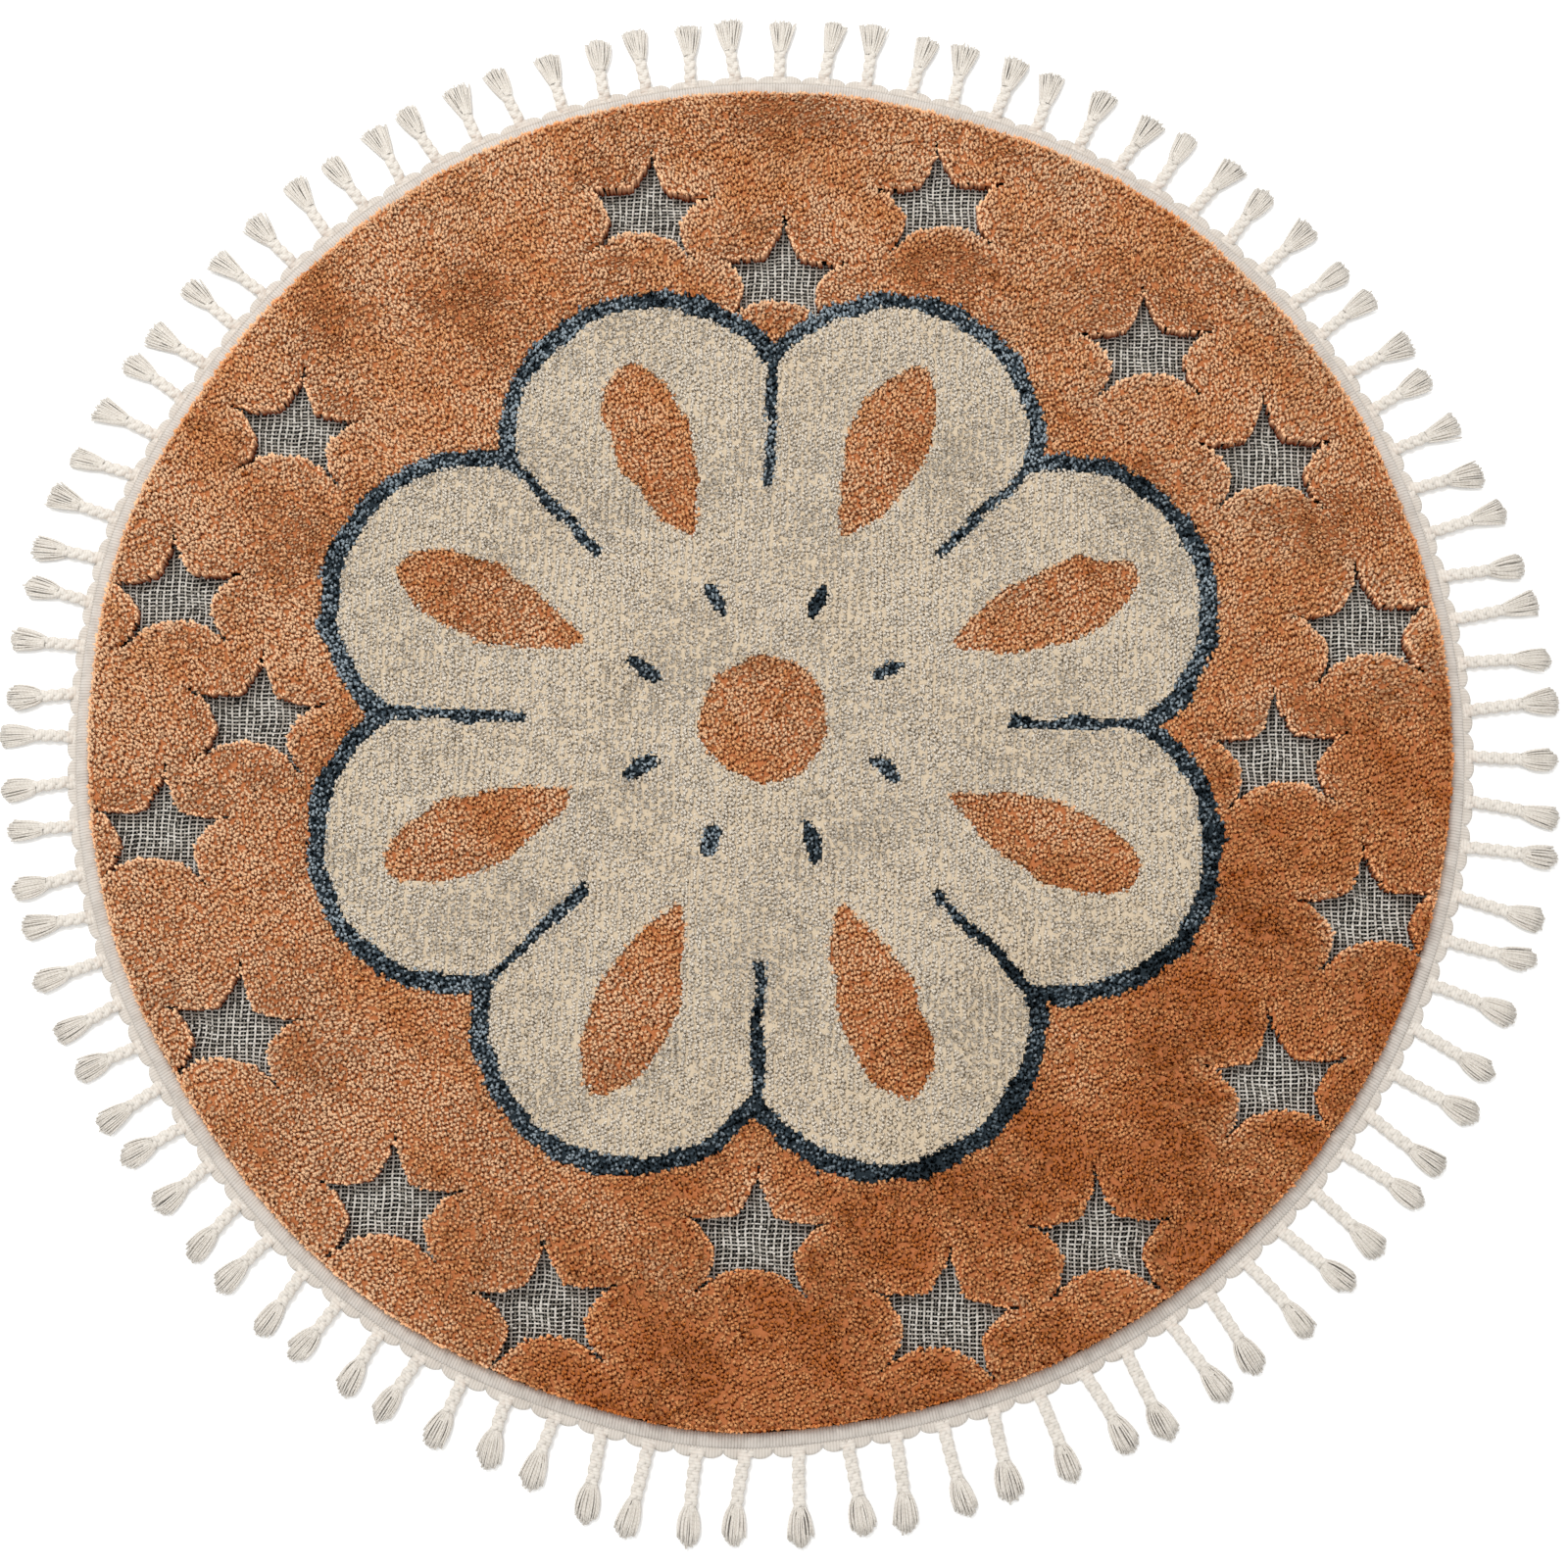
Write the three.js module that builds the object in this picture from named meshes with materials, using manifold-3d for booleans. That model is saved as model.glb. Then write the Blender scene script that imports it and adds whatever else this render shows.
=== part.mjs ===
// A round pile rug for a child's room, lying flat on the floor.
// Millimetres, +Z up. The origin is the centre of the underside, +Y the top of the design.
// Three pieces: the woven rug with its sunk stars, the tape that binds its rim, and the tassel fringe.

import * as THREE from 'three';
import { mergeVertices } from 'three/addons/utils/BufferGeometryUtils.js';
import Module from 'manifold-3d';

const wasm = await Module();
wasm.setup();

// Sizes of the whole rug
const RUG_RADIUS = 600;
const TASSEL_COUNT = 94;
const TASSEL_PITCH = (2 * Math.PI) / TASSEL_COUNT;
const FIRST_TASSEL = -Math.PI / 2;
const GAP = 0.3;

// The woven ground, the pile on it, and the bare selvedge that the tape wraps
const GROUND_THICK = 3;
const PILE_TOP = 20;
const PILE_RADIUS = 579;
const SELVEDGE_RADIUS = 588.5;
const SHOULDER_DROP = 5;
const SHOULDER_WIDTH = 4;
const PILE_RINGS = [0.11, 0.22, 0.33, 0.44, 0.54, 0.63, 0.72, 0.8, 0.88, 0.95];

// The binding tape, folded over the selvedge down to the floor
const TAPE_THICK = 1.8;
const TAPE_RADIUS = 591;
const TAPE_TOP = GROUND_THICK + GAP + TAPE_THICK;

// The scalloped strip of the fringe: two rounded lobes to each tassel
const STRIP_THICK = 2.2;
const STRIP_INNER = TAPE_RADIUS + GAP;
const LOBE_DEPTH = 4.8;
const LOBES_PER_TASSEL = 2;
const LOBE_STEPS = 4;
const LOBE_FULLNESS = 0.6;

// The tassels: a plaited neck and a loose brush of cut ends
const BRUSH_LENGTH = 27;
const ROOT_RADIUS = 593;
const NECK_LEAN = 7;
const NECK_CURL = 0.09;
const PLACE_JITTER = 0.07;
const LENGTH_JITTER = 5;
const STRAND_TOP_SHARE = 0.56;

// Widths and heights along a tassel: a share of the neck's length, then a share of the brush's
const TASSEL_SECTIONS = [
  { neck: 0, brush: 0, width: 11, height: 4 },
  { neck: 0.35, brush: 0, width: 13, height: 8 },
  { neck: 0.96, brush: 0, width: 11.5, height: 7.5 },
  { neck: 1, brush: 0.16, width: 14, height: 8 },
  { neck: 1, brush: 0.5, width: 21.5, height: 8 },
  { neck: 1, brush: 1, width: 23, height: 5 },
];

// How far the tassels reach past the lobes, by the sector of the rim, in degrees from +X
const TASSEL_REACHES = [
  { from: 0, reach: 71 },
  { from: 10, reach: 65 },
  { from: 18, reach: 56 },
  { from: 57, reach: 54 },
  { from: 131, reach: 56 },
  { from: 188, reach: 54 },
  { from: 256, reach: 68 },
  { from: 300, reach: 70 },
];

// Where the rim strays from a true circle: degrees from +X, spread in degrees, rise in mm
const RIM_BULGES = [
  { at: 12, spread: 14, rise: -2.5 },
  { at: 72, spread: 10, rise: -3.5 },
  { at: 122, spread: 14, rise: 2.5 },
  { at: 164, spread: 9, rise: 5 },
  { at: 215, spread: 16, rise: -6 },
  { at: 267, spread: 9, rise: 6 },
];

// Soft swells in the pile: length of a wave, its heading in degrees, its height and its start
const PILE_SWELLS = [
  { length: 410, heading: 25, height: 0.8, start: 0.4 },
  { length: 290, heading: 118, height: 0.7, start: 1.9 },
  { length: 205, heading: 72, height: 0.5, start: 0.9 },
  { length: 160, heading: 160, height: 0.4, start: 2.6 },
];

// The sunk stars, where the woven ground shows: centre in mm, and turn in degrees
const STAR_REACH = 54;
const STAR_PLACES = [
  { x: -115, y: 461, turn: -4 },
  { x: 145, y: 469, turn: 3 },
  { x: 5, y: 398, turn: -3 },
  { x: 326, y: 333, turn: 2 },
  { x: -418, y: 251, turn: -6 },
  { x: 428, y: 233, turn: 2 },
  { x: -512, y: 101, turn: 4 },
  { x: 507, y: 84, turn: 6 },
  { x: -436, y: -5, turn: -5 },
  { x: 433, y: -27, turn: 3 },
  { x: -511, y: -106, turn: -2 },
  { x: 505, y: -160, turn: 5 },
  { x: -437, y: -274, turn: -4 },
  { x: 425, y: -300, turn: 4 },
  { x: -299, y: -414, turn: -3 },
  { x: 283, y: -430, turn: 5 },
  { x: -166, y: -493, turn: 4 },
  { x: 2, y: -435, turn: -2 },
  { x: 156, y: -495, turn: -5 },
];

// A star's points, and the notch that follows each one, in degrees and as a share of its reach.
// The lower arms are splayed by the rounded mound of pile that fills the lowest notch.
const STAR_CORNERS = [
  { tip: 90, notch: 126, share: 0.48, mound: false },
  { tip: 162, notch: 196, share: 0.6, mound: false },
  { tip: 222, notch: 270, share: 0.38, mound: true },
  { tip: 318, notch: 344, share: 0.6, mound: false },
  { tip: 18, notch: 54, share: 0.48, mound: false },
];
const ARM_PINCH = 0.9;
const MOUND_WIDTH = 0.6;
const CURVE_STEPS = 2;
const CUTTER_HEIGHT = 40;

const degrees = THREE.MathUtils.degToRad;

// An even spread of values from -0.5 to 0.5, a different one for each stride
function uneven(index, stride) {
  return ((index * stride) % 1) - 0.5;
}

// How far the rim stands out of its circle at an angle, in radians from +X
function rimBulge(angle) {
  let rise = 0;
  for (const row of RIM_BULGES) {
    const turn = THREE.MathUtils.euclideanModulo(angle - degrees(row.at) + Math.PI, 2 * Math.PI) - Math.PI;
    rise += row.rise * Math.exp(-((turn / degrees(row.spread)) ** 2));
  }
  return rise;
}

// Height of the pile's swells at a place
function pileSwell(x, y) {
  let height = 0;
  for (const wave of PILE_SWELLS) {
    const along = x * Math.cos(degrees(wave.heading)) + y * Math.sin(degrees(wave.heading));
    height += wave.height * Math.sin((2 * Math.PI * along) / wave.length + wave.start);
  }
  return height;
}

// Moves every vertex outwards with the rim's bulges, less so towards the middle
function followRim(geometry) {
  const place = geometry.attributes.position;
  for (let i = 0; i < place.count; i += 1) {
    const x = place.getX(i);
    const y = place.getY(i);
    const stretch = 1 + rimBulge(Math.atan2(y, x)) / RUG_RADIUS;
    place.setXY(i, x * stretch, y * stretch);
  }
  return geometry;
}

// Lifts and lowers the vertices above the ground with the pile's swells
function swellPile(geometry) {
  const place = geometry.attributes.position;
  for (let i = 0; i < place.count; i += 1) {
    if (place.getZ(i) > GROUND_THICK + GAP) {
      place.setZ(i, place.getZ(i) + pileSwell(place.getX(i), place.getY(i)));
    }
  }
  return geometry;
}

// A closed solid, made ready to be joined and cut
function toSolid(geometry) {
  const bare = geometry.clone();
  bare.deleteAttribute('normal');
  bare.deleteAttribute('uv');
  const merged = mergeVertices(bare);
  const corners = merged.index.array;
  const triangles = [];
  for (let i = 0; i < corners.length; i += 3) {
    const [a, b, c] = [corners[i], corners[i + 1], corners[i + 2]];
    if (a !== b && b !== c && c !== a) {
      triangles.push(a, b, c);
    }
  }
  return new wasm.Manifold(new wasm.Mesh({
    numProp: 3,
    vertProperties: new Float32Array(merged.attributes.position.array),
    triVerts: new Uint32Array(triangles),
  }));
}

// The geometry of a finished solid
function toGeometry(solid) {
  const mesh = solid.getMesh();
  const geometry = new THREE.BufferGeometry();
  geometry.setAttribute('position', new THREE.BufferAttribute(new Float32Array(mesh.vertProperties), 3));
  geometry.setIndex(new THREE.BufferAttribute(new Uint32Array(mesh.triVerts), 1));
  geometry.computeVertexNormals();
  return geometry;
}

// Turns a profile of [radius, height] pairs round the rug's axis, a segment to each tassel
function turned(profile) {
  const points = profile.map(([radius, height]) => new THREE.Vector2(radius, height));
  const geometry = new THREE.LatheGeometry(points, TASSEL_COUNT);
  geometry.rotateX(Math.PI / 2);
  return geometry;
}

// The hole that a star leaves in the pile, with one point up and a mound in the lowest notch
function starCutter(star) {
  const at = (angle, share) => new THREE.Vector2(
    STAR_REACH * share * Math.cos(degrees(angle)),
    STAR_REACH * share * Math.sin(degrees(angle)),
  );
  const shape = new THREE.Shape();
  shape.moveTo(at(STAR_CORNERS[0].tip, 1).x, at(STAR_CORNERS[0].tip, 1).y);
  STAR_CORNERS.forEach((corner, i) => {
    const before = at(corner.tip, 1);
    const after = at(STAR_CORNERS[(i + 1) % STAR_CORNERS.length].tip, 1);
    const low = at(corner.notch, corner.share);
    if (corner.mound) {
      shape.quadraticCurveTo(before.x * MOUND_WIDTH, low.y, low.x, low.y);
      shape.quadraticCurveTo(after.x * MOUND_WIDTH, low.y, after.x, after.y);
    } else {
      const inward = before.clone().lerp(low, 0.5).multiplyScalar(ARM_PINCH);
      const outward = after.clone().lerp(low, 0.5).multiplyScalar(ARM_PINCH);
      shape.quadraticCurveTo(inward.x, inward.y, low.x, low.y);
      shape.quadraticCurveTo(outward.x, outward.y, after.x, after.y);
    }
  });
  const cutter = new THREE.ExtrudeGeometry(shape, {
    depth: CUTTER_HEIGHT,
    bevelEnabled: false,
    curveSegments: CURVE_STEPS,
  });
  cutter.rotateZ(degrees(star.turn));
  cutter.translate(star.x, star.y, GROUND_THICK);
  return cutter;
}

// The woven rug: its flat ground, and the pile on it with the stars sunk to the ground
function rugBody() {
  const crown = PILE_RADIUS - SHOULDER_WIDTH;
  const slab = turned([
    [0, 0],
    [SELVEDGE_RADIUS, 0],
    [SELVEDGE_RADIUS, GROUND_THICK],
    [PILE_RADIUS, GROUND_THICK],
    [PILE_RADIUS, PILE_TOP - SHOULDER_DROP],
    [crown, PILE_TOP],
    ...PILE_RINGS.map((share) => [crown * share, PILE_TOP]).reverse(),
    [0, PILE_TOP],
  ]);
  let solid = toSolid(swellPile(followRim(slab)));
  for (const star of STAR_PLACES) {
    solid = solid.subtract(toSolid(starCutter(star)));
  }
  return toGeometry(solid);
}

// The tape: one leg on the selvedge beside the pile, the other down to the floor outside it
function edgeBinding() {
  const ring = turned([
    [SELVEDGE_RADIUS + GAP, 0],
    [TAPE_RADIUS, 0],
    [TAPE_RADIUS, TAPE_TOP - TAPE_THICK / 2],
    [TAPE_RADIUS - TAPE_THICK / 2, TAPE_TOP],
    [PILE_RADIUS + GAP, TAPE_TOP],
    [PILE_RADIUS + GAP, GROUND_THICK + GAP],
    [SELVEDGE_RADIUS + GAP, GROUND_THICK + GAP],
    [SELVEDGE_RADIUS + GAP, 0],
  ]);
  return toGeometry(toSolid(followRim(ring)));
}

// The fringe's strip: a flat ring whose outer edge is a row of lobes
function scallopedStrip() {
  const outline = [];
  const steps = LOBES_PER_TASSEL * LOBE_STEPS;
  for (let i = 0; i < TASSEL_COUNT * steps; i += 1) {
    const angle = FIRST_TASSEL + (TASSEL_PITCH * i) / steps;
    const across = (i % LOBE_STEPS) / LOBE_STEPS;
    const rise = LOBE_DEPTH * (Math.sin(Math.PI * across) ** LOBE_FULLNESS - 1);
    const radius = RUG_RADIUS + rise;
    outline.push(new THREE.Vector2(radius * Math.cos(angle), radius * Math.sin(angle)));
  }
  const inner = [];
  for (let i = 0; i < TASSEL_COUNT; i += 1) {
    const angle = FIRST_TASSEL + TASSEL_PITCH * i;
    inner.push(new THREE.Vector2(STRIP_INNER * Math.cos(angle), STRIP_INNER * Math.sin(angle)));
  }
  const shape = new THREE.Shape(outline);
  shape.holes.push(new THREE.Path(inner));
  return new THREE.ExtrudeGeometry(shape, { depth: STRIP_THICK, bevelEnabled: false });
}

// A closed skin through a row of four-cornered sections, with its two ends capped
function loft(sections) {
  const corners = sections.flat().flatMap((corner) => [corner.x, corner.y, corner.z]);
  const last = (sections.length - 1) * 4;
  const faces = [0, 1, 2, 0, 2, 3, last, last + 2, last + 1, last, last + 3, last + 2];
  for (let row = 0; row < last; row += 4) {
    for (let side = 0; side < 4; side += 1) {
      const next = (side + 1) % 4;
      faces.push(row + side, row + 4 + side, row + 4 + next);
      faces.push(row + side, row + 4 + next, row + next);
    }
  }
  const geometry = new THREE.BufferGeometry();
  geometry.setAttribute('position', new THREE.Float32BufferAttribute(corners, 3));
  geometry.setIndex(faces);
  return geometry;
}

// How far a tassel reaches past the lobes at an angle, in radians from +X
function tasselReach(angle) {
  const heading = THREE.MathUtils.euclideanModulo(THREE.MathUtils.radToDeg(angle), 360);
  return TASSEL_REACHES.filter((row) => row.from <= heading).at(-1).reach;
}

// One tassel, lying level on the floor with its root on the strip
function tassel(index) {
  const angle = FIRST_TASSEL + TASSEL_PITCH * (index + PLACE_JITTER * uneven(index, 0.755));
  const reach = tasselReach(angle) + LENGTH_JITTER * uneven(index, 0.618);
  const length = RUG_RADIUS + reach - ROOT_RADIUS;
  const neckLength = length - BRUSH_LENGTH;
  const heading = angle + degrees(2 * NECK_LEAN * uneven(index, 0.414));
  const curl = 2 * NECK_CURL * uneven(index, 0.27);
  const forward = new THREE.Vector3(Math.cos(heading), Math.sin(heading), 0);
  const sideways = new THREE.Vector3(-forward.y, forward.x, 0);
  const root = new THREE.Vector3(ROOT_RADIUS * Math.cos(angle), ROOT_RADIUS * Math.sin(angle), 0);
  const sections = TASSEL_SECTIONS.map((row) => {
    const along = row.neck * neckLength + row.brush * BRUSH_LENGTH;
    const swing = curl * along * (1 - along / length);
    const middle = root.clone().addScaledVector(forward, along).addScaledVector(sideways, swing);
    const corner = (across, height) => middle.clone()
      .addScaledVector(sideways, (across * row.width) / 2)
      .setZ(height);
    return [
      corner(1, 0),
      corner(-1, 0),
      corner(-STRAND_TOP_SHARE, row.height),
      corner(STRAND_TOP_SHARE, row.height),
    ];
  });
  return loft(sections);
}

// The fringe: the strip with all the tassels joined to it at their roots
function fringe() {
  let solid = toSolid(followRim(scallopedStrip()));
  for (let i = 0; i < TASSEL_COUNT; i += 1) {
    solid = solid.add(toSolid(followRim(tassel(i))));
  }
  return toGeometry(solid);
}

// A named sub-part with its own finish
function piece(name, geometry, color, roughness) {
  const material = new THREE.MeshStandardMaterial({ color, roughness, metalness: 0 });
  const mesh = new THREE.Mesh(geometry, material);
  mesh.name = name;
  return mesh;
}

const rug = new THREE.Group();
rug.add(piece('rug_body', rugBody(), '#b47f57', 0.95));
rug.add(piece('edge_binding', edgeBinding(), '#c8bcab', 0.85));
rug.add(piece('fringe', fringe(), '#ddd5ca', 0.88));

export default rug;
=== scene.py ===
"""Round kids rug: the looks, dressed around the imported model.

Every size is in millimetres until a mesh is made, and spots are rows of x and y. The pile is
modelled tuft by tuft on the weave's own grid, the stars show the bare weave, and the tape, the
scalloped strip and the plaited tassels lie round it.
"""

import logging
import math
from collections.abc import Iterable, Sequence
from dataclasses import KW_ONLY, dataclass, field, fields
from enum import IntEnum
from typing import Any

import bpy
import numpy as np
from mathutils import Euler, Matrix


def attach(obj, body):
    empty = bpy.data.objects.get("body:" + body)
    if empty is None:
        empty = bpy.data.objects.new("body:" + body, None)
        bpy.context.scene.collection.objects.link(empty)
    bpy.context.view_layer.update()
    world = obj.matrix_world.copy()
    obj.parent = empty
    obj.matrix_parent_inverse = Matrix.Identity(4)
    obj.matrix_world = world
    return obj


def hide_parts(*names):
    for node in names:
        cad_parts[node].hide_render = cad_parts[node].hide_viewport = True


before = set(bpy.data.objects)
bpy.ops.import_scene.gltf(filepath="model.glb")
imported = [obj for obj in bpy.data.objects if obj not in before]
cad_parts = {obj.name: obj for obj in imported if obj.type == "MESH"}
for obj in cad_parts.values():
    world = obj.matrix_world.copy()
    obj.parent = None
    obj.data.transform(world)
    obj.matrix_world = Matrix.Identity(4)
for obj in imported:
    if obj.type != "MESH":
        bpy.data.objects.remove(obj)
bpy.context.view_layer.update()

Array = np.ndarray
Rows = tuple[tuple[float, ...], ...]
Profile = Sequence[tuple[Any, Any]]
Material = bpy.types.Material
Piece = bpy.types.Object
Socket = bpy.types.NodeSocket
Tree = bpy.types.NodeTree

MM = 0.001
TURN = 2 * math.pi
SEED = 1205
BODY = "root"
SQUARE = np.array([[-1, -1], [1, -1], [1, 1], [-1, 1]])
FAR_AWAY = 99.0
GOLDEN = 0.618
SWING_SPREAD = (0.55, 1.6)
LEAST_HEIGHT = 0.05
log = logging.getLogger("round_rug")


# Small helpers


def linear(code: str) -> tuple[float, float, float, float]:
    """Turns an sRGB hex colour into the linear colour that a shader takes.

    Args:
        code: The colour as "#rrggbb".

    Returns:
        Red, green, blue and an alpha of 1.
    """
    shares = [int(code[i : i + 2], 16) / 255 for i in (1, 3, 5)]
    red, green, blue = (
        s / 12.92 if s <= 0.04045 else ((s + 0.055) / 1.055) ** 2.4 for s in shares
    )
    return red, green, blue, 1.0


def wire(tree: Tree, node: bpy.types.Node, inputs: dict[str | int, Any]) -> None:
    """Sets or links a node's sockets.

    Args:
        tree: The material's node tree.
        node: The node.
        inputs: A value or another node's output for each named or numbered socket.
    """
    for key, value in inputs.items():
        if isinstance(value, Socket):
            tree.links.new(value, node.inputs[key])
        else:
            node.inputs[key].default_value = value


def add_node(
    tree: Tree, kind: str, inputs: dict[str | int, Any] | None = None, **settings: Any
) -> bpy.types.Node:
    """Adds a node to a material, with its settings, values and links.

    Args:
        tree: The material's node tree.
        kind: Blender's name for the kind of node.
        inputs: A value or another node's output for each named or numbered socket.
        **settings: The node's own properties.

    Returns:
        The new node.
    """
    node = tree.nodes.new(kind)
    for name, value in settings.items():
        setattr(node, name, value)
    wire(tree, node, inputs or {})
    return node


def link_object(name: str, data: bpy.types.ID) -> Piece:
    """Puts a new object into the scene.

    Args:
        name: The object's name.
        data: Its mesh, camera or light.

    Returns:
        The object.
    """
    made = bpy.data.objects.new(name, data)
    bpy.context.scene.collection.objects.link(made)
    return made


def uneven(index: Array | float, stride: float) -> Array | float:
    """An even spread of values from -0.5 to 0.5, a different one for each stride."""
    return (index * stride) % 1 - 0.5


def smooth(low: float, high: float, value: Array) -> Array:
    """Rises softly from 0 to 1 while the value goes from low to high."""
    share = np.clip((value - low) / (high - low), 0, 1)
    return share * share * (3 - 2 * share)


def circle(radius: Array | float, turn: Array | float) -> Array:
    """Spots at this distance from the middle and at this angle in radians."""
    return np.stack([radius * np.cos(turn), radius * np.sin(turn)], axis=-1)


def left_of(ahead: Array) -> Array:
    """Turns directions a quarter to the left."""
    return np.stack([-ahead[..., 1], ahead[..., 0]], axis=-1)


def lattice(first: Array, second: Array) -> Array:
    """Every pair of a value from the first row and one from the second."""
    return np.stack(np.meshgrid(first, second, indexing="ij"), axis=-1).reshape(-1, 2)


def tube_faces(rings: int, sides: int) -> Array:
    """The quads of a tube whose points are stored ring by ring.

    Args:
        rings: How many rings the tube has.
        sides: How many points a ring has.

    Returns:
        Four point numbers for each quad.
    """
    ring, side = lattice(np.arange(rings - 1), np.arange(sides)).T
    here = ring * sides + side
    after = ring * sides + (side + 1) % sides
    return np.stack([here, after, after + sides, here + sides], axis=1)


def repeat_faces(faces: Array, copies: int, step: int) -> Array:
    """The faces of many like parts, each with step points more than the one before."""
    starts = np.arange(copies) * step
    return (faces[None] + starts[:, None, None]).reshape(-1, faces.shape[1])


def ripples(spots: Array, waves: Iterable[Sequence[float]]) -> Array:
    """Sums sine waves that run over the rug.

    Args:
        spots: The places.
        waves: The length, the heading in radians, the height and the start of each.

    Returns:
        The sum at each spot.
    """
    x, y = spots.T
    total = np.zeros(len(spots))
    for length, heading, height, start in waves:
        along = x * math.cos(heading) + y * math.sin(heading)
        total += height * np.sin(TURN * along / length + start)
    return total


def drift(spots: Array, *parts: tuple[float, float, int], waves: int = 11) -> Array:
    """Sums smooth fields that wander between about -1 and 1 times their strength.

    Args:
        spots: The places.
        *parts: The strength, the width of the swings in millimetres and the seed of each field.
        waves: How many sine waves each field has.

    Returns:
        The sum at each spot.
    """
    total = np.zeros(len(spots))
    for strength, size, seed in parts:
        rng = np.random.default_rng(SEED + seed)
        heading = rng.uniform(0, TURN, waves)
        length = size * rng.uniform(*SWING_SPREAD, waves)
        start = rng.uniform(0, TURN, waves)
        field_sum = ripples(spots, zip(length, heading, np.ones(waves), start))
        total += strength * (field_sum / math.sqrt(waves / 2))
    return total


@dataclass
class Surface:
    """A mesh in the making: points in millimetres, faces, and a value or two for each point."""

    points: list[Array] = field(default_factory=list)
    faces: list[Array] = field(default_factory=list)
    marks: dict[str, list[Array]] = field(default_factory=dict)
    count: int = 0

    def add(self, points: Array, faces: Sequence[Array], **marks: Array | float) -> None:
        """Joins more points and faces to the mesh.

        Args:
            points: One row of x, y and z for each point.
            faces: Arrays of point numbers, counted from this call's first point.
            **marks: A value for each point, or one for all, kept as an attribute.
        """
        self.points.append(points)
        self.faces.extend(part + self.count for part in faces)
        for name, value in marks.items():
            spread = np.broadcast_to(np.asarray(value, float), (len(points),))
            self.marks.setdefault(name, []).append(spread)
        self.count += len(points)

    def finish(self, name: str, *materials: Material) -> Piece:
        """Makes the object.

        Args:
            name: The piece's name.
            *materials: Its materials; the first is on all faces.

        Returns:
            The object, linked to the scene and riding on the rug's one body.
        """
        points = np.concatenate(self.points) * MM
        corners = np.concatenate([part.ravel() for part in self.faces])
        sizes = np.concatenate([np.full(len(part), part.shape[1]) for part in self.faces])
        mesh = bpy.data.meshes.new(name)
        mesh.vertices.add(len(points))
        mesh.vertices.foreach_set("co", points.astype(np.float32).ravel())
        mesh.loops.add(len(corners))
        mesh.loops.foreach_set("vertex_index", corners.astype(np.int32))
        mesh.polygons.add(len(sizes))
        mesh.polygons.foreach_set("loop_start", (np.cumsum(sizes) - sizes).astype(np.int32))
        mesh.polygons.foreach_set("use_smooth", np.ones(len(sizes), bool))
        mesh.update(calc_edges=True)
        for mark, parts in self.marks.items():
            layer = mesh.attributes.new(mark, "FLOAT", "POINT")
            layer.data.foreach_set("value", np.concatenate(parts).astype(np.float32))
        for material in materials:
            mesh.materials.append(material)
        piece = link_object(name, mesh)
        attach(piece, BODY)
        log.info("%s: %d triangles", name, int((sizes - 2).sum()))
        return piece


# Outlines that the solids and the looks share


@dataclass(frozen=True)
class Bulge:
    """A stretch of the rim, in degrees, that lies further out or in than the circle."""

    at: float
    spread: float
    rise: float


@dataclass(frozen=True)
class Rim:
    """The rug's uneven round outline."""

    radius: float = 600.0
    pile: float = 579.0
    bulges: tuple[Bulge, ...] = (
        Bulge(12, 14, -2.5),
        Bulge(72, 10, -3.5),
        Bulge(122, 14, 2.5),
        Bulge(164, 9, 5.0),
        Bulge(215, 16, -6.0),
        Bulge(267, 9, 6.0),
    )

    def stretch(self, angle: Array) -> Array:
        """How far out the rim lies at an angle.

        Args:
            angle: The angle of each place, in radians.

        Returns:
            The rim's distance from the middle, as a multiple of its true circle.
        """
        rise = np.zeros_like(angle, dtype=float)
        for row in self.bulges:
            turn = (angle - math.radians(row.at) + math.pi) % TURN - math.pi
            rise += row.rise * np.exp(-((turn / math.radians(row.spread)) ** 2))
        return 1 + rise / self.radius

    def follow(self, points: Array) -> Array:
        """Moves points from the true circle out or in with the rim.

        Args:
            points: Rows of x, y and z.

        Returns:
            The moved rows.
        """
        moved = points.copy()
        moved[:, :2] *= self.stretch(np.arctan2(points[:, 1], points[:, 0]))[:, None]
        return moved

    def swept(self, turn: Array, profile: Profile) -> Array:
        """Turns a profile round the rug.

        Args:
            turn: The angle of each step, in radians.
            profile: The radius and the height of each ring, for all steps or for each.

        Returns:
            Rows of x, y and z on the uneven outline, ring by ring.
        """
        rings = [
            np.column_stack([circle(radius, turn), np.broadcast_to(height, turn.shape)])
            for radius, height in profile
        ]
        return self.follow(np.concatenate(rings))

    def band(self, name: str, turn: Array, profile: Profile, finish: Material) -> Piece:
        """Makes a ribbed band round the rug.

        Args:
            name: The piece's name.
            turn: The angle of each step, in radians; every other one is a rib.
            profile: The radius and the height of each ring, for all steps or for each.
            finish: The band's finish.

        Returns:
            The band.
        """
        # Every other step is a rib, and the finish paints shade into the grooves between the ribs
        rib = np.where(np.arange(len(turn)) % 2 == 0, 1.0, -1.0) * math.pi / 2
        surface = Surface()
        faces = tube_faces(len(profile), len(turn))[:, ::-1]
        surface.add(self.swept(turn, profile), [faces], twist=np.tile(rib, len(profile)))
        return surface.finish(name, finish)


@dataclass(frozen=True)
class Corner:
    """One point of a star and the notch after it, in degrees and as a share of the reach."""

    tip: float
    notch: float
    share: float
    mound: bool = False


@dataclass(frozen=True)
class StarPlace:
    """Where one star lies, and its turn in degrees."""

    x: float
    y: float
    turn: float


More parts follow.
